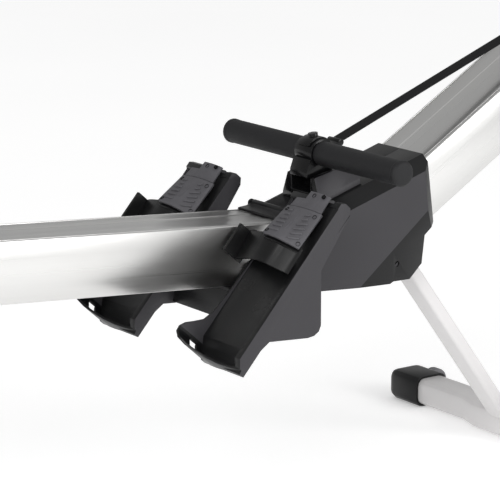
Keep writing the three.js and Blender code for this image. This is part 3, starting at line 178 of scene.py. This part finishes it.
def moulded(node, body, material, edge=0.0012, steps=2, angle=28):
    """A copy of a CAD node with its edges eased, which stands for that node.

    edge is the width of the easing in metres, steps its number of facets, and angle the
    sharpness in degrees from which an edge is eased.
    """
    source = frame["nodes"][node]
    piece = bpy.data.objects.new(node + "_finished", source.data.copy())
    bpy.context.scene.collection.objects.link(piece)
    mesh = bmesh.new()
    mesh.from_mesh(piece.data)
    bmesh.ops.remove_doubles(mesh, verts=mesh.verts, dist=1e-5)
    bmesh.ops.dissolve_limit(mesh, angle_limit=radians(0.6), verts=mesh.verts, edges=mesh.edges)
    mesh.to_mesh(piece.data)
    mesh.free()
    if edge:
        bevel = piece.modifiers.new("eased_edges", "BEVEL")
        bevel.width = edge
        bevel.segments = steps
        bevel.limit_method = "ANGLE"
        bevel.angle_limit = radians(angle)
        bevel.harden_normals = False
        apply_all(piece)
    piece.data.materials.clear()
    piece.data.materials.append(material)
    smooth(piece, 34)
    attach(piece, body)
    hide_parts(node)
    return piece


# Anodised aluminium, extruded: satin metal with fine lines along its length, 1 to 3 mm apart.
RAIL_SLOPE = radians(4.26)
BEAM_SLOPE = radians(-31.1)


def anodised(name, slope):
    """Anodised aluminium whose extrusion lines run down at this slope."""
    material, tree, shader = new_material(name, {"Metallic": 1.0})
    place = put(tree, "TexCoord", {}, {})
    line_up = put(tree, "Mapping", {"vector_type": "TEXTURE", "Rotation": (0, slope, 0),
                                    "Scale": (0.9, 0.0016, 0.0016)},
                  {"Vector": place.outputs["Object"]})
    lines = put(tree, "TexNoise", {"Scale": 1, "Detail": 4, "Roughness": 0.6},
                {"Vector": line_up.outputs[0]})
    cloud = put(tree, "TexNoise", {"Scale": 5, "Detail": 2}, {"Vector": place.outputs["Object"]})
    metal = put(tree, "MixRGB", {"Color1": tint("#cbcac8"), "Color2": tint("#d8d7d5")},
                {"Fac": lines.outputs["Fac"]})
    worn = put(tree, "MixRGB", {"Color2": tint("#d3d3d2")},
               {"Fac": cloud.outputs["Fac"], "Color1": metal.outputs[0]})
    gloss = put(tree, "MapRange",
                {"From Min": 0.3, "From Max": 0.7, "To Min": 0.27, "To Max": 0.34},
                {"Value": lines.outputs["Fac"]})
    relief = put(tree, "Bump", {"Strength": 0.05, "Distance": 0.0002},
                 {"Height": lines.outputs["Fac"]})
    tree.links.new(worn.outputs[0], shader.inputs["Base Color"])
    tree.links.new(gloss.outputs[0], shader.inputs["Roughness"])
    tree.links.new(relief.outputs[0], shader.inputs["Normal"])
    return material


moulded("seat_rail", "rail", anodised("anodised_aluminium_rail", RAIL_SLOPE), 0.0015)
moulded("front_beam", "frame", anodised("anodised_aluminium_beam", BEAM_SLOPE), 0.0015)


# ---------------------------------------------------------------- legs and stabilisers
# Bent steel tube, welded and powder coated pale grey; the coat has a faint orange peel.
# Black moulded caps with rubber undersides close the stabilisers' ends.
powder_coat, tree, shader = new_material("powder_coat_pale_grey", {
    "Specular IOR Level": 0.5, "Coat Weight": 0.15, "Coat Roughness": 0.2})
place = put(tree, "TexCoord", {}, {})
peel = put(tree, "TexNoise", {"Scale": 420, "Detail": 2}, {"Vector": place.outputs["Object"]})
cloud = put(tree, "TexNoise", {"Scale": 9, "Detail": 3}, {"Vector": place.outputs["Object"]})
paint = put(tree, "MixRGB", {"Color1": tint("#c6c4c4"), "Color2": tint("#d2d0d0")},
            {"Fac": cloud.outputs["Fac"]})
gloss = put(tree, "MapRange", {"To Min": 0.28, "To Max": 0.42}, {"Value": cloud.outputs["Fac"]})
relief = put(tree, "Bump", {"Strength": 0.18, "Distance": 0.0004}, {"Height": peel.outputs["Fac"]})
tree.links.new(paint.outputs[0], shader.inputs["Base Color"])
tree.links.new(gloss.outputs[0], shader.inputs["Roughness"])
tree.links.new(relief.outputs[0], shader.inputs["Normal"])

for node, body in (("front_leg", "frame"), ("front_stabilizer", "frame"),
                   ("rear_leg", "rail"), ("rear_stabilizer", "rail")):
    moulded(node, body, powder_coat, 0.0015)


# ---------------------------------------------------------------- black mouldings
# Injection-moulded ABS shells, screwed together: hub, flywheel case, caps, mast and console.
# A spark-eroded mould leaves a fine matt grain, and handling leaves duller patches.
def black_moulding(name, dark, light, low, high, grain, sheen=0.22):
    """A black finish: two tones, least and greatest roughness, strength of grain, and sheen."""
    material, tree, shader = new_material(name, {"Specular IOR Level": sheen})
    place = put(tree, "TexCoord", {}, {})
    cloud = put(tree, "TexNoise", {"Scale": 7, "Detail": 5, "Roughness": 0.6},
                {"Vector": place.outputs["Object"]})
    speckle = put(tree, "TexNoise", {"Scale": 1100, "Detail": 1},
                  {"Vector": place.outputs["Object"]})
    tone = put(tree, "MixRGB", {"Color1": tint(dark), "Color2": tint(light)},
               {"Fac": cloud.outputs["Fac"]})
    gloss = put(tree, "MapRange",
                {"From Min": 0.3, "From Max": 0.7, "To Min": low, "To Max": high},
                {"Value": cloud.outputs["Fac"]})
    relief = put(tree, "Bump", {"Strength": grain, "Distance": 0.0004},
                 {"Height": speckle.outputs["Fac"]})
    tree.links.new(tone.outputs[0], shader.inputs["Base Color"])
    tree.links.new(gloss.outputs[0], shader.inputs["Roughness"])
    tree.links.new(relief.outputs[0], shader.inputs["Normal"])
    return material


satin_abs = black_moulding("moulded_abs_satin", "#0d0d0e", "#151516", 0.28, 0.4, 0.25)
gloss_abs = black_moulding("moulded_abs_gloss", "#080809", "#0e0e0f", 0.14, 0.24, 0.05)
# Painted reflection: this finish's lighter grey stands for the bright room mirrored in the side
# faces that get it, with a coarser grain.
painted_reflection_abs = black_moulding("moulded_abs_painted_reflection", "#2d2c2f", "#363538", 0.42, 0.56, 0.45, 0.3)


def paint_reflection_faces(piece, material, chosen):
    """Gives a moulding's faces that chosen() picks a second material, here the lighter grey of a
    painted reflection.
    """
    piece.data.materials.append(material)
    for face in piece.data.polygons:
        if chosen(face):
            face.material_index = 1


# The covers' flat side faces get the lighter grey of a painted reflection.
for side in ("left", "right"):
    for node in ("hub_cover_", "flywheel_cover_"):
        cover = moulded(node + side, "frame", satin_abs, 0.004, 3)
        paint_reflection_faces(cover, painted_reflection_abs, lambda face: abs(face.normal.y) > 0.99)
    moulded("front_end_cap_" + side, "frame", satin_abs, 0.002)
    moulded("rear_end_cap_" + side, "rail", satin_abs, 0.002)
# The cradle's sideways faces get the lighter grey of a painted reflection.
cradle = moulded("handle_cradle", "frame", gloss_abs, 0.0012)
paint_reflection_faces(cradle, painted_reflection_abs,
              lambda face: abs(face.normal.y) > 0.3 and abs(face.center.y) > 0.03)
for node, body, edge in (("pedal_crossmember", "frame", 0.0012), ("console_mast", "frame", 0.0015),
                         ("rail_end_cap", "rail", 0.0015), ("hinge_knuckle", "rail", 0.001),
                         ("rail_lock_knob", "lock", 0.001), ("strap_drum", "drum", 0.0006),
                         ("tension_knob", "knob", 0.001), ("console_housing", "console", 0.002),
                         ("seat_base", "seat", 0.0012)):
    moulded(node, body, satin_abs, edge)

# Recessed screws hold the flywheel case together, six round each side.
SCREWS = 6
SCREW_CIRCLE = 0.165
# The origin is the middle of the model's box; the machine is drawn from this far ahead of it.
SHIFT = 0.2333
CASE_MIDDLE = Vector((0.705 + SHIFT, 0, 0.783))
bpy.ops.object.select_all(action="DESELECT")
bpy.ops.mesh.primitive_cylinder_add(vertices=20, radius=0.0055, depth=0.003)
screw = bpy.context.object
mesh = bmesh.new()
mesh.from_mesh(screw.data)
mesh.faces.ensure_lookup_table()
top = [face for face in mesh.faces if face.normal.z > 0.9]
bmesh.ops.inset_region(mesh, faces=top, thickness=0.0012)
bmesh.ops.translate(mesh, verts=[v for face in top for v in face.verts], vec=(0, 0, -0.0009))
mesh.to_mesh(screw.data)
mesh.free()
screw.data.materials.append(gloss_abs)
low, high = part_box("flywheel_cover_right")
for side_name, side in (("left", 1), ("right", -1)):
    heads = []
    for i in range(SCREWS):
        angle = radians(20 + 360 / SCREWS * i)
        spot = CASE_MIDDLE + Vector((SCREW_CIRCLE * cos(angle), side * (-low.y - 0.0002),
                                     SCREW_CIRCLE * sin(angle)))
        outward = Matrix.Rotation(radians(-90 * side), 4, "X")
        head = bpy.data.objects.new(f"case_screws_{side_name}_{i}", screw.data.copy())
        head.data.transform(Matrix.Translation(spot) @ outward)
        bpy.context.scene.collection.objects.link(head)
        heads.append(head)
    only(*heads)
    bpy.ops.object.join()
    heads[0].name = "case_screws_" + side_name
    smooth(heads[0], 34)
    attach(heads[0], "frame")
bpy.data.objects.remove(screw)


# ---------------------------------------------------------------- footplates
# Black moulded trays with a curved heel cup, a slot for water and a raised outer ledge.
# They bolt to the crossmember behind the rail's front end.
footplate_abs = black_moulding("moulded_abs_footplate", "#0b0b0c", "#121213", 0.24, 0.38, 0.2)
# The footplates' faces that look towards -Y get the lighter grey of a painted reflection.
for side in ("left", "right"):
    plate = moulded("footplate_" + side, "frame", footplate_abs, 0.0009, 2, 30)
    paint_reflection_faces(plate, painted_reflection_abs, lambda face: face.normal.y < -0.98)

PEDAL_SLOPE = radians(48.3)
PEDAL_HEEL = (-0.282 + SHIFT, 0.270)
PEDAL_Y = 0.142


def on_pedal(x, y, z, side):
    """A point x mm up from the heel, y mm across and z mm above a footplate's bottom."""
    return Vector((PEDAL_HEEL[0] + (x * cos(PEDAL_SLOPE) - z * sin(PEDAL_SLOPE)) / 1000,
                   side * PEDAL_Y + y / 1000,
                   PEDAL_HEEL[1] + (x * sin(PEDAL_SLOPE) + z * cos(PEDAL_SLOPE)) / 1000))


# ---------------------------------------------------------------- foot straps and their pads
# A black rubber band arches over the foot from a folded loop; a grey rubber pad with slanted
# ribs is riveted on it at four corners, and a tongue carries it on to the toe end.
strap_rubber, tree, shader = new_material("moulded_rubber_strap", {"Specular IOR Level": 0.22})
place = put(tree, "TexCoord", {}, {})
cloud = put(tree, "TexNoise", {"Scale": 30, "Detail": 4}, {"Vector": place.outputs["Object"]})
grit = put(tree, "TexNoise", {"Scale": 900, "Detail": 2}, {"Vector": place.outputs["Object"]})
tone = put(tree, "MixRGB", {"Color1": tint("#080808"), "Color2": tint("#0e0e0f")},
           {"Fac": cloud.outputs["Fac"]})
gloss = put(tree, "MapRange", {"To Min": 0.28, "To Max": 0.5}, {"Value": cloud.outputs["Fac"]})
relief = put(tree, "Bump", {"Strength": 0.2, "Distance": 0.0003}, {"Height": grit.outputs["Fac"]})
tree.links.new(tone.outputs[0], shader.inputs["Base Color"])
tree.links.new(gloss.outputs[0], shader.inputs["Roughness"])
tree.links.new(relief.outputs[0], shader.inputs["Normal"])

pad_rubber, tree, shader = new_material("grained_rubber_grey", {"Specular IOR Level": 0.4})
place = put(tree, "TexCoord", {}, {})
grain = put(tree, "TexVoronoi", {"Scale": 1200}, {"Vector": place.outputs["Object"]})
cloud = put(tree, "TexNoise", {"Scale": 60, "Detail": 4}, {"Vector": place.outputs["Object"]})
tone = put(tree, "MixRGB", {"Color1": tint("#434245"), "Color2": tint("#525155")},
           {"Fac": cloud.outputs["Fac"]})
gloss = put(tree, "MapRange", {"To Min": 0.5, "To Max": 0.7}, {"Value": grain.outputs["Distance"]})
relief = put(tree, "Bump", {"Strength": 0.4, "Distance": 0.0003},
             {"Height": grain.outputs["Distance"]})
tree.links.new(tone.outputs[0], shader.inputs["Base Color"])
tree.links.new(gloss.outputs[0], shader.inputs["Roughness"])
tree.links.new(relief.outputs[0], shader.inputs["Normal"])

# The pad's top along its two short edges, from the inner side out: (across, up) in mm.
PAD_HEEL_LINE = [(15, 64.5), (0, 66), (-18, 63), (-30, 55.5), (-43, 46.5), (-51, 38.5)]
PAD_TOE_LINE = [(42, 33), (25, 36), (8, 38), (-10, 38.5), (-28, 37), (-44, 33)]
PAD_START = 206
PAD_LENGTH = 66


def pad_point(s, t, side):
    """A point on the pad's top, s across from the inner edge and t from the band to the toe."""
    ends = []
    for line in (PAD_HEEL_LINE, PAD_TOE_LINE):
        at = min(max(s, 0), 1) * (len(line) - 1)
        i = min(int(at), len(line) - 2)
        ends.append([a + (b - a) * (at - i) for a, b in zip(line[i], line[i + 1])])
    (y0, z0), (y1, z1) = ends
    return on_pedal(PAD_START + PAD_LENGTH * t, y0 + (y1 - y0) * t, z0 + (z1 - z0) * t, side)


def pad_place(s, t, side, turn, lift):
    """Where a small part stands on the pad: its X along the pad's width, its Z straight out."""
    middle = pad_point(s, t, side)
    across = (pad_point(s + 0.04, t, side) - pad_point(s - 0.04, t, side)).normalized()
    toeward = (pad_point(s, t + 0.04, side) - pad_point(s, t - 0.04, side)).normalized()
    out = across.cross(toeward)
    out = (-out if out.z < 0 else out).normalized()
    toeward = out.cross(across)
    turned = Matrix((across, toeward, out)).transposed().to_4x4()
    return Matrix.Translation(middle + out * lift) @ turned @ Matrix.Rotation(turn, 4, "Z")


def copy_at(pattern, name, where):
    """A copy of a small part with its place in its mesh."""
    copy = bpy.data.objects.new(name, pattern.data.copy())
    copy.data.transform(where)
    bpy.context.scene.collection.objects.link(copy)
    return copy


# One rib: a bar 17 mm long, 4 mm wide and 5.2 mm high with rounded edges, half of it sunk.
bpy.ops.object.select_all(action="DESELECT")
bpy.ops.mesh.primitive_cube_add(size=1, scale=(0.017, 0.004, 0.0052))
rib = bpy.context.object
bpy.ops.object.transform_apply(location=True, rotation=True, scale=True)
bpy.ops.object.mode_set(mode="EDIT")
bpy.ops.mesh.select_all(action="SELECT")
bpy.ops.mesh.bevel(offset=0.0014, segments=3)
bpy.ops.object.mode_set(mode="OBJECT")
# One eyelet: a ring 7 mm across with a sunk middle.
bpy.ops.object.select_all(action="DESELECT")
bpy.ops.mesh.primitive_cylinder_add(vertices=24, radius=0.0034, depth=0.0024)
eyelet = bpy.context.object
mesh = bmesh.new()
mesh.from_mesh(eyelet.data)
mesh.faces.ensure_lookup_table()
top = [face for face in mesh.faces if face.normal.z > 0.9]
bmesh.ops.inset_region(mesh, faces=top, thickness=0.0009)
bmesh.ops.translate(mesh, verts=[v for face in top for v in face.verts], vec=(0, 0, -0.0016))
mesh.to_mesh(eyelet.data)
mesh.free()

for side_name, side in (("left", 1), ("right", -1)):
    moulded("foot_strap_" + side_name, "frame", strap_rubber, 0.0009, 2, 35)
    moulded("strap_tongue_" + side_name, "frame", pad_rubber, 0.0008)
    pad = moulded("strap_pad_" + side_name, "frame", pad_rubber, 0.001)
    ribs = []
    for row in range(6):
        for column, (s, lean) in enumerate(((0.26, radians(6)), (0.74, radians(24)))):
            length = Matrix.Diagonal((0.62 if row > 3 else 1.1, 1, 1, 1))
            where = pad_place(s, 0.16 + 0.135 * row, side, lean, -0.0002)
            ribs.append(copy_at(rib, f"pad_rib_{side_name}_{row}_{column}", where @ length))
    fold = pad_place(0.5, 0.5, side, pi / 2, -0.0016) @ Matrix.Diagonal((3.5, 0.4, 1, 1))
    ribs.append(copy_at(rib, f"pad_fold_{side_name}", fold))
    only(pad, *ribs)
    for item in ribs:
        item.data.materials.append(pad_rubber)
    bpy.ops.object.join()
    smooth(pad, 34)
    rings = []
    for i, (s, t) in enumerate(((0.09, 0.09), (0.91, 0.09), (0.12, 0.86), (0.9, 0.86))):
        rings.append(copy_at(eyelet, f"pad_eyelets_{side_name}" if i == 0 else f"ring_{i}",
                             pad_place(s, t, side, 0, 0.0001)))
    for i, (x, y) in enumerate(((297, -6), (299, -27))):
        flat = Matrix.Rotation(-PEDAL_SLOPE, 4, "Y")
        rings.append(copy_at(eyelet, f"tongue_ring_{i}",
                             Matrix.Translation(on_pedal(x, y, 35.2, side)) @ flat))
    for item in rings:
        item.data.materials.append(gloss_abs)
    only(*rings)
    bpy.ops.object.join()
    smooth(rings[0], 34)
    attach(rings[0], "frame")
bpy.data.objects.remove(rib)
bpy.data.objects.remove(eyelet)


# ---------------------------------------------------------------- handle
# A steel tube with two closed-cell foam sleeves, a moulded collar between them and a clip
# that takes the webbing's end; the foam is matt with a fine open skin.
foam, tree, shader = new_material("nitrile_foam", {"Specular IOR Level": 0.25})
place = put(tree, "TexCoord", {}, {})
cells = put(tree, "TexVoronoi", {"Scale": 900}, {"Vector": place.outputs["Object"]})
cloud = put(tree, "TexNoise", {"Scale": 40, "Detail": 4}, {"Vector": place.outputs["Object"]})
tone = put(tree, "MixRGB", {"Color1": tint("#161617"), "Color2": tint("#1f1f21")},
           {"Fac": cloud.outputs["Fac"]})
gloss = put(tree, "MapRange", {"To Min": 0.5, "To Max": 0.72}, {"Value": cloud.outputs["Fac"]})
relief = put(tree, "Bump", {"Strength": 0.45, "Distance": 0.0005},
             {"Height": cells.outputs["Distance"]})
tree.links.new(tone.outputs[0], shader.inputs["Base Color"])
tree.links.new(gloss.outputs[0], shader.inputs["Roughness"])
tree.links.new(relief.outputs[0], shader.inputs["Normal"])
for side in ("left", "right"):
    moulded("handle_grip_" + side, "handle", foam, 0.0015, 3)
moulded("handle_collar", "handle", gloss_abs, 0.0008)
moulded("strap_clip", "handle", gloss_abs, 0.0006)

# Zinc-plated steel: turned and pressed parts with a faint mottled sheen.
zinc, tree, shader = new_material("zinc_plated_steel", {"Metallic": 1.0})
place = put(tree, "TexCoord", {}, {})
bloom = put(tree, "TexNoise", {"Scale": 60, "Detail": 5}, {"Vector": place.outputs["Object"]})
tone = put(tree, "MixRGB", {"Color1": tint("#9b9da0"), "Color2": tint("#b4b5b6")},
           {"Fac": bloom.outputs["Fac"]})
gloss = put(tree, "MapRange", {"To Min": 0.26, "To Max": 0.44}, {"Value": bloom.outputs["Fac"]})
relief = put(tree, "Bump", {"Strength": 0.1, "Distance": 0.0002}, {"Height": bloom.outputs["Fac"]})
tree.links.new(tone.outputs[0], shader.inputs["Base Color"])
tree.links.new(gloss.outputs[0], shader.inputs["Roughness"])
tree.links.new(relief.outputs[0], shader.inputs["Normal"])
for node, body in (("handle_core", "handle"), ("flywheel_fork", "frame"),
                   ("flywheel_axle", "frame"), ("drum_axle", "frame"), ("magnet_carrier", "brake"),
                   ("seat_carriage", "seat")):
    moulded(node, body, zinc, 0.0006)

# Black powder coat on the pressed steel hub bracket and the pin through it.
dark_coat = black_moulding("powder_coat_black", "#101011", "#161617", 0.35, 0.5, 0.4)
for node in ("hub_bracket", "hinge_pin"):
    moulded(node, "frame", dark_coat, 0.0008)


# ---------------------------------------------------------------- pull strap
# Woven polyester webbing, 26 mm wide: ribs across it 2 mm apart and a firm edge.
# It runs from the clip to the drum.
STRAP_SLOPE = radians(-21.1)
STRAP_PIECES = 60
webbing, tree, shader = new_material("woven_webbing", {"Specular IOR Level": 0.15})
place = put(tree, "TexCoord", {}, {})
line_up = put(tree, "Mapping", {"vector_type": "TEXTURE", "Rotation": (0, STRAP_SLOPE, 0)},
              {"Vector": place.outputs["Object"]})
weft = put(tree, "TexWave", {"Scale": 160, "Distortion": 0.4, "bands_direction": "X"},
           {"Vector": line_up.outputs[0]})
warp = put(tree, "TexWave", {"Scale": 110, "bands_direction": "Y"},
           {"Vector": line_up.outputs[0]})
weave = put(tree, "Math", {"operation": "MULTIPLY"},
            {0: weft.outputs["Fac"], 1: warp.outputs["Fac"]})
tone = put(tree, "MixRGB", {"Color1": tint("#0b0b0c"), "Color2": tint("#1c1c1e")},
           {"Fac": weave.outputs[0]})
gloss = put(tree, "MapRange", {"To Min": 0.62, "To Max": 0.85}, {"Value": weave.outputs[0]})
relief = put(tree, "Bump", {"Strength": 0.6, "Distance": 0.0005}, {"Height": weave.outputs[0]})
tree.links.new(tone.outputs[0], shader.inputs["Base Color"])
tree.links.new(gloss.outputs[0], shader.inputs["Roughness"])
tree.links.new(relief.outputs[0], shader.inputs["Normal"])
strap = moulded("pull_strap", "frame", webbing, 0)
low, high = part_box("pull_strap")
mesh = bmesh.new()
mesh.from_mesh(strap.data)
for i in range(1, STRAP_PIECES):
    x = low.x + (high.x - low.x) * i / STRAP_PIECES
    cuts = mesh.verts[:] + mesh.edges[:] + mesh.faces[:]
    bmesh.ops.bisect_plane(mesh, geom=cuts, plane_co=(x, 0, 0), plane_no=(1, 0, 0))
mesh.to_mesh(strap.data)
mesh.free()
del strap["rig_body"]
strap.parent = None
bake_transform(strap)


# ---------------------------------------------------------------- flywheel, belt and rollers
# The flywheel is turned cast iron, blackened, and a rubber belt drives it from the drum.
# The rollers, wheels and buttons are moulded grey nylon, and the seat stops are rubber.
cast_iron, tree, shader = new_material("cast_iron_blackened", {"Metallic": 0.7})
place = put(tree, "TexCoord", {}, {})
grit = put(tree, "TexNoise", {"Scale": 500, "Detail": 4}, {"Vector": place.outputs["Object"]})
cloud = put(tree, "TexNoise", {"Scale": 14, "Detail": 4}, {"Vector": place.outputs["Object"]})
tone = put(tree, "MixRGB", {"Color1": tint("#2c2d2f"), "Color2": tint("#47484a")},
           {"Fac": cloud.outputs["Fac"]})
gloss = put(tree, "MapRange", {"To Min": 0.35, "To Max": 0.6}, {"Value": grit.outputs["Fac"]})
relief = put(tree, "Bump", {"Strength": 0.3, "Distance": 0.0004}, {"Height": grit.outputs["Fac"]})
tree.links.new(tone.outputs[0], shader.inputs["Base Color"])
tree.links.new(gloss.outputs[0], shader.inputs["Roughness"])
tree.links.new(relief.outputs[0], shader.inputs["Normal"])
moulded("flywheel", "flywheel_body", cast_iron, 0.0015)
moulded("drive_belt", "frame", strap_rubber, 0.0004)

grey_nylon, tree, shader = new_material("moulded_nylon_grey", {"Specular IOR Level": 0.5})
place = put(tree, "TexCoord", {}, {})
cloud = put(tree, "TexNoise", {"Scale": 45, "Detail": 4}, {"Vector": place.outputs["Object"]})
fine = put(tree, "TexNoise", {"Scale": 900}, {"Vector": place.outputs["Object"]})
tone = put(tree, "MixRGB", {"Color1": tint("#5b5a5d"), "Color2": tint("#6d6c6f")},
           {"Fac": cloud.outputs["Fac"]})
gloss = put(tree, "MapRange", {"To Min": 0.35, "To Max": 0.55}, {"Value": cloud.outputs["Fac"]})
relief = put(tree, "Bump", {"Strength": 0.2, "Distance": 0.0003}, {"Height": fine.outputs["Fac"]})
tree.links.new(tone.outputs[0], shader.inputs["Base Color"])
tree.links.new(gloss.outputs[0], shader.inputs["Roughness"])
tree.links.new(relief.outputs[0], shader.inputs["Normal"])
moulded("guide_roller", "roller", grey_nylon, 0.0006)
for side in ("left", "right"):
    moulded("transport_wheel_" + side, "wheel_" + side, grey_nylon, 0.001)
    moulded("console_button_" + side, "button_" + side, grey_nylon, 0.0006)
    moulded("front_stop_" + side, "rail", strap_rubber, 0.001)
    for end in ("front", "rear"):
        moulded(f"seat_roller_{end}_{side}", f"roller_{end}_{side}", grey_nylon,
                0.0006)


# ---------------------------------------------------------------- console window
# A clear hard-coated window over a grey-green display whose blank cells just show,
# pressed into the console's housing.
display, tree, shader = new_material("display_window", {"Roughness": 0.12, "Coat Weight": 0.6,
                                                        "Coat Roughness": 0.04})
place = put(tree, "TexCoord", {}, {})
cells = put(tree, "TexBrick", {"Scale": 60, "Color1": tint("#4c554f"), "Color2": tint("#515b54"),
                               "Mortar": tint("#3e4641"), "Mortar Size": 0.03},
            {"Vector": place.outputs["Object"]})
tree.links.new(cells.outputs["Color"], shader.inputs["Base Color"])
moulded("console_screen", "console", display, 0.0008)


# ---------------------------------------------------------------- seat cushion
# Moulded foam under black grained vinyl, stretched over the base and stapled below.
# The cover is blown up a little over its foam, and two shallow seams run along it.
vinyl, tree, shader = new_material("grained_vinyl", {"Specular IOR Level": 0.45})
place = put(tree, "TexCoord", {}, {})
pebbles = put(tree, "TexVoronoi", {"Scale": 420}, {"Vector": place.outputs["Object"]})
cloud = put(tree, "TexNoise", {"Scale": 18, "Detail": 5}, {"Vector": place.outputs["Object"]})
tone = put(tree, "MixRGB", {"Color1": tint("#1d1d1f"), "Color2": tint("#29292b")},
           {"Fac": cloud.outputs["Fac"]})
gloss = put(tree, "MapRange", {"To Min": 0.36, "To Max": 0.56}, {"Value": cloud.outputs["Fac"]})
relief = put(tree, "Bump", {"Strength": 0.5, "Distance": 0.0006},
             {"Height": pebbles.outputs["Distance"]})
tree.links.new(tone.outputs[0], shader.inputs["Base Color"])
tree.links.new(gloss.outputs[0], shader.inputs["Roughness"])
tree.links.new(relief.outputs[0], shader.inputs["Normal"])

COVER_REACH = 0.005
UNDERSIDE_REACH = 0.0005
SEAM_ACROSS = 0.062
SEAM_HALF_WIDTH = 0.009
SEAM_DEPTH = 0.0026
cushion = moulded("seat_cushion", "seat", vinyl, 0)
low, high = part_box("seat_cushion")
middle = (low + high) / 2
cushion.data.transform(Matrix.Translation(middle) @ Matrix.Diagonal((0.975, 0.975, 0.96, 1))
                       @ Matrix.Translation(-middle))
remesh = cushion.modifiers.new("skin", "REMESH")
remesh.mode = "VOXEL"
remesh.voxel_size = 0.005
apply_all(cushion)
relax = cushion.modifiers.new("relax", "SMOOTH")
relax.iterations = 3
apply_all(cushion)
before = [v.co.copy() for v in cushion.data.vertices]
cloth = cushion.modifiers.new("cover", "CLOTH")
cloth.settings.use_pressure = True
cloth.settings.uniform_pressure_force = 4
cloth.settings.effector_weights.gravity = 0
for step in range(1, 21):
    bpy.context.scene.frame_set(step)
only(cushion)
bpy.ops.object.modifier_apply(modifier="cover")
for vertex, start in zip(cushion.data.vertices, before):
    move = vertex.co - start
    reach = COVER_REACH if start.z > middle.z else UNDERSIDE_REACH
    if move.length > reach:
        vertex.co = start + move * (reach / move.length)
bpy.context.scene.frame_set(1)
for vertex in cushion.data.vertices:
    off = abs(abs(vertex.co.y) - SEAM_ACROSS)
    if vertex.co.z > middle.z and off < SEAM_HALF_WIDTH:
        vertex.co.z -= SEAM_DEPTH * (1 - off / SEAM_HALF_WIDTH) ** 1.5
rounds = cushion.modifiers.new("rounds", "SUBSURF")
rounds.levels = rounds.render_levels = 1
apply_all(cushion)
smooth(cushion, 60)
